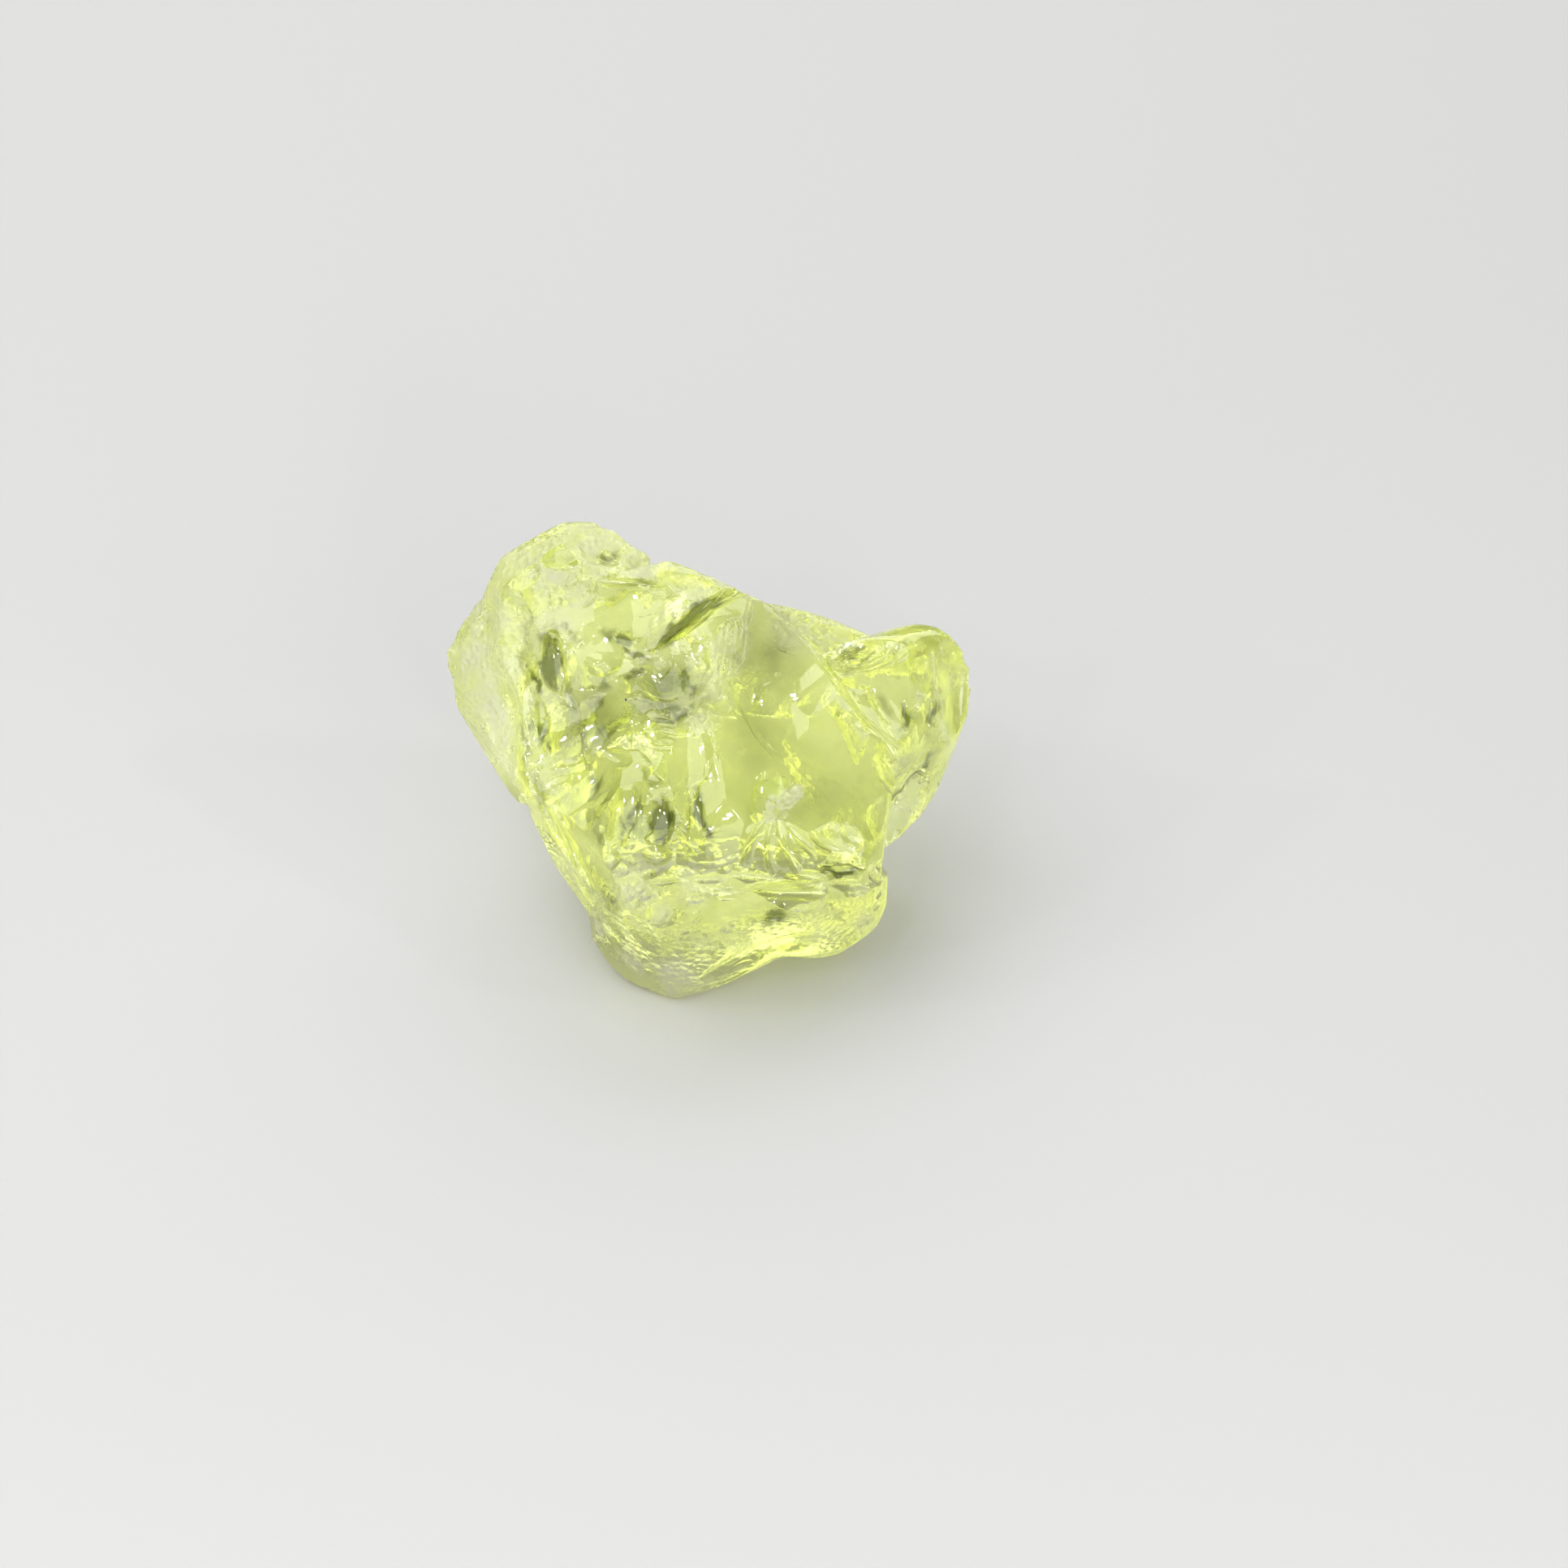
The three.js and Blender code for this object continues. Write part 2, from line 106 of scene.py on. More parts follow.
# What breaks the surface. at is right and up of the middle of the stone as that side is seen, wide
# and tall are half sizes, turn leans the tall way to the left in degrees, deep is how far the
# middle lies under the rim, and lean tips the flake to the right and up, in degrees.
FLAKES = [
    # the oval window in the crown, and the dimples round it
    dict(at=(-5.4, 9.5), wide=2.3, tall=2.3, turn=0, deep=0.55, frost=0.0),
    dict(at=(-5.2, 11.9), wide=2.0, tall=0.5, turn=-8, deep=0.35, lean=(0, -18), frost=0.0),
    dict(at=(-10.3, 13.9), wide=1.4, tall=1.3, turn=20, deep=0.3, frost=0.0),
    dict(at=(-7.0, 13.7), wide=0.9, tall=0.6, turn=-30, deep=0.3, lean=(0, -20), frost=0.1),
    # the next flake's white is partly a painted highlight
    dict(at=(-4.9, 13.3), wide=1.2, tall=0.8, turn=-30, deep=0.25, frost=0.9),
    dict(at=(-8.6, 14.6), wide=0.5, tall=1.2, turn=25, deep=0.2, frost=0.9),
    dict(at=(-12.6, 12.4), wide=1.3, tall=1.0, turn=35, deep=0.25, frost=0.5),
    dict(at=(-11.6, 10.6), wide=1.2, tall=1.6, turn=10, deep=0.3, frost=0.4),
    dict(at=(-8.6, 11.2), wide=1.2, tall=0.9, turn=20, deep=0.3, frost=0.5),
    dict(at=(-1.6, 11.6), wide=1.6, tall=0.7, turn=-25, deep=0.25, frost=0.5),
    # the dark cleft, the ribbed shell and the curl at its foot
    dict(at=(-1.6, 9.4), wide=0.42, tall=3.2, turn=-52, deep=0.9, frost=0.0),
    dict(at=(0.4, 10.6), wide=0.5, tall=2.2, turn=-55, deep=0.5, lean=(0, 20), frost=0.0),
    dict(at=(1.3, 7.5), wide=1.0, tall=1.9, turn=-6, deep=0.45, ribs=5, frost=0.5),
    dict(at=(2.4, 9.8), wide=0.28, tall=1.2, turn=-6, deep=0.3, frost=0.8),
    # soft facets in the big face
    dict(at=(3.4, 6.6), wide=2.0, tall=3.4, turn=10, deep=0.10),
    dict(at=(7.4, 1.6), wide=2.2, tall=4.6, turn=44, deep=0.10),
    # the scratched bevel along its long ridge
    dict(at=(5.4, 8.7), wide=0.40, tall=2.2, turn=42, deep=0.14, ribs=3),
    dict(at=(7.8, 5.9), wide=0.45, tall=2.6, turn=38, deep=0.14, ribs=3),
    dict(at=(10.3, 2.7), wide=0.45, tall=2.6, turn=36, deep=0.14, ribs=3),
    dict(at=(12.1, 0.4), wide=0.40, tall=1.8, turn=40, deep=0.14, ribs=3),
    # the white leaf low in it: a painted reflection, whitened in colour over a crack
    dict(at=(3.8, -3.1), wide=0.6, tall=1.5, turn=-16, deep=0.26, frost=1.0),
    dict(at=(5.0, -2.7), wide=0.5, tall=1.3, turn=-46, deep=0.26, frost=1.0),
    # crisp facets in the broken hollow
    dict(at=(-10.5, 6.3), wide=0.9, tall=2.5, turn=8, deep=0.4, lean=(-16, 0), frost=0.0),
    dict(at=(-7.8, 6.3), wide=1.2, tall=0.8, turn=-8, deep=0.35, lean=(10, 16), frost=0.0),
    dict(at=(-9.3, 3.4), wide=0.8, tall=1.8, turn=15, deep=0.35, lean=(12, 0), frost=0.0),
    dict(at=(-12.2, 3.6), wide=0.6, tall=2.4, turn=8, deep=0.3, lean=(-10, 0), frost=0.2),
    dict(at=(-5.6, 5.0), wide=1.5, tall=1.1, turn=20, deep=0.45, lean=(0, 14), frost=0.0),
    dict(at=(-3.0, 4.3), wide=1.5, tall=0.9, turn=-15, deep=0.4, lean=(-10, 8), frost=0.1),
    dict(at=(-1.9, 6.4), wide=1.0, tall=1.4, turn=30, deep=0.4, lean=(14, 0), frost=0.2),
    dict(at=(-4.4, 6.9), wide=1.0, tall=0.7, turn=0, deep=0.3, lean=(0, -14), frost=0.3),
    dict(at=(-7.2, 3.2), wide=1.0, tall=1.0, turn=0, deep=0.3, lean=(8, -8), frost=0.0),
    # thin steps across the middle of the hollow
    dict(at=(-3.4, 2.5), wide=1.7, tall=0.42, turn=-6, deep=0.28, lean=(0, 16), frost=0.1),
    dict(at=(-3.0, 1.7), wide=1.5, tall=0.40, turn=-12, deep=0.28, lean=(0, 16), frost=0.0),
    dict(at=(-3.6, 0.9), wide=1.6, tall=0.42, turn=-4, deep=0.28, lean=(0, 16), frost=0.0),
    dict(at=(-6.6, 0.2), wide=1.8, tall=0.9, turn=-14, deep=0.4, lean=(0, 10), frost=0.0),
    dict(at=(-9.2, -0.4), wide=1.6, tall=0.7, turn=16, deep=0.35, lean=(0, 12), frost=0.1),
    dict(at=(-10.6, -1.8), wide=1.3, tall=0.8, turn=30, deep=0.3, lean=(0, -12), frost=0.1),
    # the dark flat patch and the bulge beside it
    dict(at=(-3.3, -4.0), wide=1.0, tall=1.7, turn=6, deep=0.45, lean=(-14, 0), frost=0.0),
    dict(at=(-1.4, -3.6), wide=0.6, tall=2.1, turn=14, deep=0.35, lean=(16, 0), frost=0.0),
    dict(at=(-6.3, -3.4), wide=1.5, tall=2.0, turn=-10, deep=0.4, lean=(8, 0), frost=0.0),
    dict(at=(-8.6, -3.6), wide=0.9, tall=1.7, turn=20, deep=0.3, lean=(-10, 0), frost=0.1),
    dict(at=(-7.0, -6.6), wide=1.1, tall=0.9, turn=20, deep=0.3, frost=0.2),
    dict(at=(-3.9, -6.6), wide=1.1, tall=0.8, turn=-20, deep=0.35, lean=(0, 12), frost=0.1),
    # the crushed seam between the hollow and the big face
    dict(at=(0.0, 4.6), wide=0.6, tall=1.0, turn=30, deep=0.25),
    dict(at=(-0.9, 3.2), wide=0.5, tall=0.9, turn=20, deep=0.25),
    dict(at=(-1.0, 1.4), wide=0.45, tall=1.0, turn=-10, deep=0.22),
    dict(at=(-0.4, -0.4), wide=0.4, tall=0.9, turn=0, deep=0.2),
    # the fan of small ridges under the big face
    dict(at=(2.5, -5.6), wide=0.45, tall=1.5, turn=-35, deep=0.28, lean=(12, 0), frost=0.1),
    dict(at=(3.7, -5.9), wide=0.40, tall=1.4, turn=-8, deep=0.28, lean=(12, 0), frost=0.1),
    dict(at=(4.8, -5.8), wide=0.42, tall=1.5, turn=18, deep=0.28, lean=(12, 0), frost=0.1),
    dict(at=(6.0, -5.6), wide=0.42, tall=1.6, turn=42, deep=0.28, lean=(12, 0), frost=0.1),
    dict(at=(7.2, -5.6), wide=0.40, tall=1.6, turn=62, deep=0.28, lean=(12, 0), frost=0.1),
    dict(at=(9.4, -5.4), wide=0.7, tall=1.1, turn=50, deep=0.25, frost=0.3),
    # crushed steps along the ledge
    dict(at=(-3.4, -8.3), wide=1.8, tall=0.35, turn=6, deep=0.25, lean=(0, 20), frost=0.5),
    dict(at=(-0.2, -8.2), wide=2.0, tall=0.35, turn=0, deep=0.25, lean=(0, 20), frost=0.5),
    dict(at=(2.6, -8.0), wide=1.8, tall=0.4, turn=-8, deep=0.25, lean=(0, -18), frost=0.4),
    dict(at=(4.9, -9.1), wide=2.2, tall=0.5, turn=-3, deep=0.35, lean=(0, 12), frost=0.1),
    dict(at=(6.4, -7.9), wide=1.6, tall=0.5, turn=-10, deep=0.3, lean=(0, -14), frost=0.2),
    dict(at=(8.5, -7.5), wide=1.6, tall=0.3, turn=-4, deep=0.4, lean=(0, 14), frost=0.0),
    dict(at=(9.0, -8.5), wide=1.6, tall=0.45, turn=-6, deep=0.3, lean=(0, -14), frost=0.3),
    dict(at=(10.8, -7.8), wide=0.7, tall=0.6, turn=0, deep=0.25, frost=0.9),
    dict(at=(0.4, -7.0), wide=1.4, tall=0.5, turn=12, deep=0.3, lean=(0, 14), frost=0.3),
    dict(at=(-1.4, -9.4), wide=1.3, tall=0.45, turn=8, deep=0.25, lean=(0, -14), frost=0.6),
    dict(at=(1.6, -9.6), wide=1.2, tall=0.4, turn=-8, deep=0.22, lean=(0, 12), frost=0.4),
    # dimples in the smooth face under the ledge
    dict(at=(4.0, -10.6), wide=0.9, tall=0.8, turn=0, deep=0.3, frost=0.0),
    dict(at=(10.2, -11.1), wide=0.8, tall=0.5, turn=20, deep=0.2, frost=0.9),
    dict(at=(1.8, -14.0), wide=0.8, tall=0.5, turn=25, deep=0.2, frost=0.3),
    dict(at=(-5.0, -11.6), wide=1.3, tall=1.8, turn=25, deep=0.28),
    dict(at=(-6.8, -12.3), wide=0.7, tall=1.4, turn=10, deep=0.25),
    dict(at=(-4.6, -14.5), wide=0.8, tall=0.5, turn=30, deep=0.2, frost=0.5),
    # the scalloped right end
    dict(at=(11.2, -7.3), wide=0.5, tall=0.4, turn=0, deep=0.2, frost=0.6),
    dict(at=(11.2, -8.3), wide=0.5, tall=0.4, turn=0, deep=0.2, frost=0.4),
    dict(at=(11.2, -9.2), wide=0.5, tall=0.4, turn=0, deep=0.2, frost=0.5),
    dict(at=(11.0, -10.1), wide=0.5, tall=0.4, turn=0, deep=0.2, frost=0.4),
    dict(at=(10.6, -11.0), wide=0.5, tall=0.4, turn=30, deep=0.2, frost=0.6),
    # long strips down the left edge
    dict(at=(-10.6, -4.8), wide=0.6, tall=2.6, turn=32, deep=0.3, lean=(12, 0), frost=0.3),
    dict(at=(-9.0, -6.8), wide=0.6, tall=2.8, turn=34, deep=0.3, lean=(-12, 0), frost=0.1),
    dict(at=(-8.6, -9.2), wide=0.5, tall=1.9, turn=24, deep=0.25, lean=(10, 0), frost=0.5),
    dict(at=(-7.0, -10.9), wide=0.6, tall=2.4, turn=22, deep=0.28, lean=(-10, 0), frost=0.3),
    dict(at=(-5.8, -13.4), wide=0.7, tall=1.6, turn=28, deep=0.25, frost=0.8),
    # the wing: curved dark ripples, the pale strip and the dark slots
    dict(at=(10.2, 6.6), wide=2.0, tall=0.9, turn=14, deep=0.35, ripples=5, frost=0.0),
    dict(at=(15.0, 5.3), wide=0.65, tall=2.7, turn=-9, deep=0.35, lean=(-14, 0), frost=0.3),
    dict(at=(14.8, 2.7), wide=0.32, tall=1.2, turn=-16, deep=0.3, frost=0.0),
    dict(at=(13.0, 2.8), wide=0.30, tall=1.3, turn=-4, deep=0.3, frost=0.0),
    dict(at=(11.6, 3.4), wide=0.8, tall=1.5, turn=20, deep=0.25, frost=0.0),
    dict(at=(16.4, 3.6), wide=0.7, tall=1.8, turn=-8, deep=0.3, lean=(12, 0), frost=0.2),
    dict(at=(15.9, 7.2), wide=0.9, tall=0.9, turn=30, deep=0.25, frost=0.3),
    dict(at=(13.2, -1.2), wide=0.5, tall=2.4, turn=-46, deep=0.25, lean=(14, 0), frost=0.0),
    # the slab behind
    dict(at=(5.6, 9.5), wide=1.2, tall=0.6, turn=-14, deep=0.25, frost=0.8),
    dict(at=(8.2, 8.5), wide=1.1, tall=0.6, turn=-20, deep=0.25, frost=0.6),
    # the left lobe; the white of its second flake is partly a painted highlight
    dict(at=(-15.2, 9.6), wide=0.9, tall=1.6, turn=-28, deep=0.25, frost=0.8),
    dict(at=(-16.5, 5.6), wide=0.8, tall=1.5, turn=6, deep=0.2, frost=1.0),
    dict(at=(-14.8, 2.4), wide=0.7, tall=2.0, turn=24, deep=0.25, frost=0.8),
]

# Places strewn with loose chips: the middle and half sizes of the patch as that side is seen, how
# many there are, and their smallest and largest half sizes.
STREWN = [
    dict(side="front", at=(-5.5, 3.5), wide=6.5, tall=5.0, count=42, sizes=(0.45, 1.6)),
    dict(side="front", at=(-6.5, -4.0), wide=5.0, tall=3.6, count=24, sizes=(0.45, 1.5)),
    dict(side="front", at=(2.0, -8.0), wide=9.0, tall=1.9, count=60, sizes=(0.25, 0.9)),
    dict(side="front", at=(-9.5, 11.5), wide=5.0, tall=3.5, count=30, sizes=(0.4, 1.1)),
    dict(side="front", at=(15.6, 3.5), wide=1.8, tall=4.8, count=14, sizes=(0.35, 1.2)),
    dict(side="front", at=(1.0, -12.0), wide=9.0, tall=2.4, count=8, sizes=(0.4, 0.9)),
    dict(side="front", at=(-4.8, -8.9), wide=1.7, tall=1.1, count=30, sizes=(0.22, 0.45)),
    dict(side="front", at=(-12.4, -2.6), wide=1.0, tall=2.2, count=12, sizes=(0.25, 0.5)),
    dict(side="front", at=(-10.4, -6.6), wide=1.3, tall=2.2, count=12, sizes=(0.25, 0.5)),
    dict(side="front", at=(-7.6, -11.4), wide=1.3, tall=2.4, count=12, sizes=(0.25, 0.5)),
    dict(side="front", at=(-0.4, 2.6), wide=0.9, tall=3.4, count=30, sizes=(0.22, 0.5)),
    dict(side="back", at=(0, -1), wide=16, tall=11, count=28, sizes=(1.2, 4.5)),
    dict(side="left", at=(2, -2), wide=9, tall=9, count=16, sizes=(0.8, 3.5)),
    dict(side="right", at=(2, -3), wide=9, tall=8, count=16, sizes=(0.8, 3.5)),
    dict(side="above", at=(-3, 9), wide=10, tall=3.0, count=24, sizes=(0.4, 1.6)),
    dict(side="below", at=(0, 0), wide=13, tall=11, count=18, sizes=(1.2, 3.5)),
]

# Cracks that run into the stone: the two ends as the front is seen, how far the middle of the
# crack's mouth bows to its left, how deep it goes, and how many degrees it slants to the left of
# straight in.
CRACKS = [
    dict(ends=((-4.2, 7.3), (0.6, 11.2)), bow=0.3, deep=3.0, slant=35),
    dict(ends=((-0.3, -1.2), (-1.6, -5.6)), bow=-0.5, deep=3.2, slant=-30),
    dict(ends=((5.5, -1.8), (3.2, -4.5)), bow=0.5, deep=2.6, slant=-68),
    dict(ends=((-11.3, 8.6), (-10.2, 4.4)), bow=0.3, deep=2.6, slant=40),
    dict(ends=((-4.4, -2.8), (-4.2, -5.7)), bow=0.1, deep=2.4, slant=-45),
    dict(ends=((7.2, -7.7), (10.2, -7.5)), bow=0.1, deep=2.2, slant=40),
    dict(ends=((-7.3, 0.6), (-3.4, -1.6)), bow=0.6, deep=2.4, slant=50),
    dict(ends=((-6.6, 3.4), (-3.2, 3.6)), bow=-0.6, deep=2.0, slant=45),
    dict(ends=((14.4, 3.6), (14.0, 0.9)), bow=0.2, deep=2.0, slant=-40),
    dict(ends=((8.2, 6.2), (10.4, 7.5)), bow=0.4, deep=1.8, slant=45),
    dict(ends=((-11.9, 5.2), (-11.2, 0.6)), bow=0.3, deep=2.0, slant=-40),
    dict(ends=((-9.0, 2.4), (-8.5, -0.8)), bow=-0.3, deep=1.8, slant=35),
    dict(ends=((-5.6, -2.0), (-5.9, -5.4)), bow=0.4, deep=2.0, slant=30),
]
CRACK_WIDTH = 0.14  # at its mouth
CRACK_TIP = 0.02  # and at its bottom
CRACK_ABOVE = 0.5  # how far its cutter stands out of the stone
CRACK_STEP = 0.26
FEWEST_ALONG, FEWEST_DOWN = 6, 5  # steps
CRACK_END_DEPTH = 0.35  # how deep it is at its two ends, as a share of its middle
CRACK_BEND = 0.12  # how far its bottom bends aside, as a share of its depth
CRACK_WAVES = [(0.10, 7, 3.5), (0.05, 19, -6)]  # height, and radians along the mouth and down

# Whitish, crushed places, a few of them also whitened as painted light: right, up, half size and
# strength, as the front is seen.
FROST_AND_PAINTED_LIGHT = [
    # the crown and the slab behind; the crown's right end is whitened further as a painted highlight
    (-12.5, 13.0, 3.4, 1.0), (-8.0, 15.2, 2.6, 1.0), (-4.6, 13.4, 1.8, 1.2), (-11.5, 9.5, 2.6, 0.8),
    (5.5, 9.4, 2.2, 0.7), (8.6, 8.6, 2.0, 0.6),
    # the left lobe, whitened partly as a painted highlight
    (-16.6, 6.5, 2.8, 1.5), (-15.6, 2.4, 2.6, 1.5), (-15.5, 10.0, 2.6, 1.3),
    # the seam between the hollow and the big face, and the leaf low in that face, whose white is a
    # painted reflection
    (0.0, 5.0, 1.3, 0.8), (-1.0, 2.6, 1.0, 0.7), (1.2, 7.4, 1.3, 0.5), (4.4, -3.2, 1.0, 0.4),
    # the wing and the long ridge
    (15.0, -1.5, 2.4, 0.5), (13.0, -4.0, 2.0, 0.5), (17.0, 5.5, 1.4, 0.4),
    # the ledge
    (-5.4, -9.0, 1.5, 1.0), (-3.6, -10.2, 1.2, 0.8), (-1.6, -8.6, 1.6, 0.8), (2.0, -8.8, 2.0, 0.45),
    (-4.8, -8.9, 1.4, 1.3), (7.0, -7.4, 1.6, 0.3), (10.6, -7.8, 1.0, 0.8), (10.3, -11.2, 1.2, 0.8),
    # the left edge
    (-12.0, -3.4, 1.4, 0.8), (-9.8, -7.6, 1.6, 0.8), (-7.6, -11.4, 1.3, 0.7), (-6.0, -13.2, 1.2, 0.7),
    # the faces under the ledge; the toe's white is partly frost and partly painted light, to make it
    # pale
    (-5.4, -11.4, 2.0, 0.4), (-2.2, -14.4, 3.2, 1.1), (1.6, -12.0, 3.0, 0.4), (7.4, -11.2, 2.6, 0.35),
]
FROST_FALL = 1.2  # how fast a frosted place fades from its middle
FROST_FACING = -0.3  # skin that faces further away than this isn't reached by those places
HIDDEN_FROST = 0.30  # on the sides that face away from the front
RIDGE_FROST = 0.55  # on the ridges
RIDGE_FROST_REACH = 0.32

# Painted shade: dark olive places laid into the colour where a fracture inside the stone turns the
# light away: the middle and half sizes of each as the front is seen, how far its tall way leans to
# the left in degrees, and how dark it is.
PAINTED_SHADE = [
    # broad soft painted shade in the big face, the hollow and the crown
    (3.6, 7.0, 2.6, 4.4, 10, 0.56), (3.0, 2.0, 1.8, 3.0, 0, 0.38), (7.0, -2.6, 2.6, 1.6, 0, 0.2),
    (6.4, -3.0, 2.2, 0.7, 20, 0.25), (-8.4, 3.0, 3.0, 3.6, 0, 0.6), (-3.2, 4.8, 3.4, 2.8, 0, 0.62),
    (-5.6, -3.4, 3.6, 2.6, 0, 0.3), (-9.5, 12.0, 3.4, 2.4, 0, 0.14),
    # the crown, round its window
    (-4.6, 11.9, 1.6, 0.35, -5, 0.7), (-7.0, 13.8, 0.5, 0.4, 0, 0.7), (-6.9, 8.6, 0.5, 0.45, 0, 0.5),
    (-5.1, 8.2, 0.3, 0.3, 0, 0.5), (-5.8, 8.1, 0.6, 0.25, -20, 0.8), (-12.6, 8.0, 0.3, 2.0, -10, 0.35),
    # the cleft and the shell at its foot
    (-1.6, 9.4, 0.45, 3.0, -52, 0.9), (1.9, 6.4, 0.2, 1.4, 10, 0.4),
    # the upper hollow
    (-10.9, 6.8, 0.7, 2.2, 5, 0.9), (-9.6, 3.8, 0.5, 1.4, 10, 0.6), (-3.4, 5.4, 0.9, 0.5, 20, 0.6),
    (-2.9, 3.6, 1.2, 0.4, -10, 0.7), (-5.2, 7.2, 0.22, 1.4, 62, 0.8), (-2.4, 2.9, 0.2, 1.6, -72, 0.8),
    (-6.8, 1.9, 0.2, 1.5, 55, 0.7), (-12.0, 5.4, 0.2, 1.3, 14, 0.8), (-11.3, 1.6, 0.2, 1.4, 22, 0.8),
    (-12.7, 1.2, 0.2, 1.2, 4, 0.7), (-8.9, 1.0, 0.2, 1.1, 12, 0.7), (-7.4, 4.4, 0.2, 1.3, 5, 0.8),
    (-5.2, 5.7, 0.6, 0.3, 10, 0.9), (-1.9, 5.6, 0.25, 0.9, -30, 0.8), (-1.6, 4.9, 0.2, 1.1, 20, 0.7),
    (-9.6, 8.6, 0.2, 1.0, 50, 0.5),
    # the lower hollow
    (-3.4, -4.1, 0.85, 1.6, 4, 0.75), (-0.8, -3.8, 0.25, 2.0, 14, 0.9), (-6.2, -4.5, 0.15, 1.2, 5, 0.6),
    (-4.3, -1.2, 1.2, 0.25, -35, 0.5), (-8.2, -1.4, 0.2, 1.6, 30, 0.6), (-5.3, -3.4, 0.2, 1.5, -12, 0.6),
    (-7.6, -4.8, 0.2, 1.2, 20, 0.5), (-11.8, -2.0, 0.3, 1.4, 20, 0.4), (-7.2, -9.2, 0.22, 1.6, 30, 0.4),
    # the ledge and the dimple under it
    (-4.0, -7.6, 1.2, 0.2, 0, 0.5), (0.8, -8.9, 2.0, 0.16, 0, 0.4), (5.6, -8.4, 1.6, 0.16, -5, 0.5),
    (8.4, -7.6, 1.2, 0.2, -4, 0.8), (4.0, -10.6, 0.8, 0.6, 20, 0.6),
    # the wing
    (15.0, 3.0, 0.3, 0.9, -14, 0.8), (13.0, 2.8, 0.25, 1.1, -4, 0.8), (11.6, 3.5, 0.35, 0.9, 10, 0.4),
    (9.6, 7.2, 1.6, 0.2, 25, 0.7), (10.2, 6.5, 1.4, 0.18, 22, 0.5), (13.7, -1.2, 0.2, 2.6, -47, 0.7),
]
BROAD_SHADE = 1.5  # places wider than this fade out softly, and the others have an edge
BROAD_GAIN = 1.2  # how much stronger than its row says the middle of a broad place is
EDGED_GAIN = 1.5  # and of the others
SHADE_FACING = -0.2  # skin that faces further away than this isn't shaded
COARSE_WAVE, FINE_WAVE = 0.20, 0.10  # how far their edges are shaken

# Tiny dark specks on the surface: right and up, as the front is seen.
SPECKS = [(-5.9, 4.1), (3.3, -8.2), (6.9, -8.2), (6.0, -7.6), (-2.3, -7.4), (9.4, -7.0), (2.2, -10.9)]
SPECK_RADIUS = 0.09

# The quartz: colours, then how much light goes through, how it bends and what it loses inside
CLEAR_COLOUR = (0.83, 0.905, 0.36, 1)
# whitish frost, which at a few places is painted light
FROST_AND_PAINTED_LIGHT_COLOUR = (0.97, 0.97, 0.93, 1)
# the dark olive of the painted shade
PAINTED_SHADE_COLOUR = (0.12, 0.145, 0.035, 1)
SPECK_COLOUR = (0.03, 0.03, 0.02, 1)
INNER_COLOUR = (0.96, 0.975, 0.10, 1)
INNER_DENSITY = 30  # per metre
TRANSMISSION = 0.89
QUARTZ_IOR = 1.544
GLOSSY, CRUSHED = 0.03, 0.5  # roughness of clear and of crushed skin
UNEVEN_GLOSS = 0.05  # roughness that patches of any skin have besides
PATCH_SCALE, GRAIN_SCALE, SPLINTER_SCALE = 420, 3200, 1900  # per metre
GRAIN_RELIEF = 0.00012  # metres, like the next
SPLINTER_RELIEF = 0.0003
RELIEF_STRENGTH = (0.03, 0.7)  # of clear and of crushed skin

# Lamps: name, place from the middle of the stone, wide and tall, and power
LAMPS = [
    ("key_light", (-200, 0, 300), (500, 380), 1.5),
    ("fill_light", (170, -260, 110), (320, 220), 0.85),
    ("low_light", (-40, -300, 50), (420, 140), 0.7),
    ("back_light", (60, 330, 210), (560, 340), 1.35),
]

# Places of the small bright boxes that make small facets glint
GLINTS = [
    (-60, -190, 250), (220, -60, 200), (60, -300, 130),
    (-240, -160, 160), (-160, -270, 230), (-280, -40, 190),
]
GLINT_SIZE = (20, 20)
GLINT_POWER = 0.09

# The room: how high in the sky, from 0 to 1, each grey lies, and the strength of them all
SKY = [(0.0, (0.05, 0.05, 0.05, 1)), (0.3, (0.14, 0.14, 0.15, 1)), (0.7, (0.75, 0.75, 0.75, 1))]
SKY_STRENGTH = 0.85
FLOOR_HALF = 3000
FLOOR_COLOUR = (0.34, 0.34, 0.336, 1)
FLOOR_ROUGHNESS = 0.6


def unit(vectors):
    """Each vector at a length of one."""
    return vectors / np.maximum(np.linalg.norm(vectors, axis=-1, keepdims=True), 1e-12)


def looked_at(side):
    """Right, up and towards the eye on one side of the stone."""
    down, around = (math.radians(angle) for angle in SIDES[side])
    spin = np.array([
        [math.cos(around), -math.sin(around), 0],
        [math.sin(around), math.cos(around), 0],
        [0, 0, 1],
    ])
    rows = np.array([
        [1, 0, 0],
        [0, math.sin(down), math.cos(down)],
        [0, -math.cos(down), math.sin(down)],
    ])
    return rows @ spin.T


def surface_arrays(solid):
    """The solid's surface as an even mesh of small triangles, in millimetres."""
    mesh = solid.data.copy()
    mesh.transform(Matrix.Scale(1 / MM, 4))
    source = bpy.data.objects.new("source", mesh)
    bpy.context.scene.collection.objects.link(source)
    remesh = source.modifiers.new("even", "REMESH")
    remesh.mode = "VOXEL"
    remesh.voxel_size = VOXEL
    points, faces = arrays_of(source)
    bpy.data.objects.remove(source)
    return points, faces


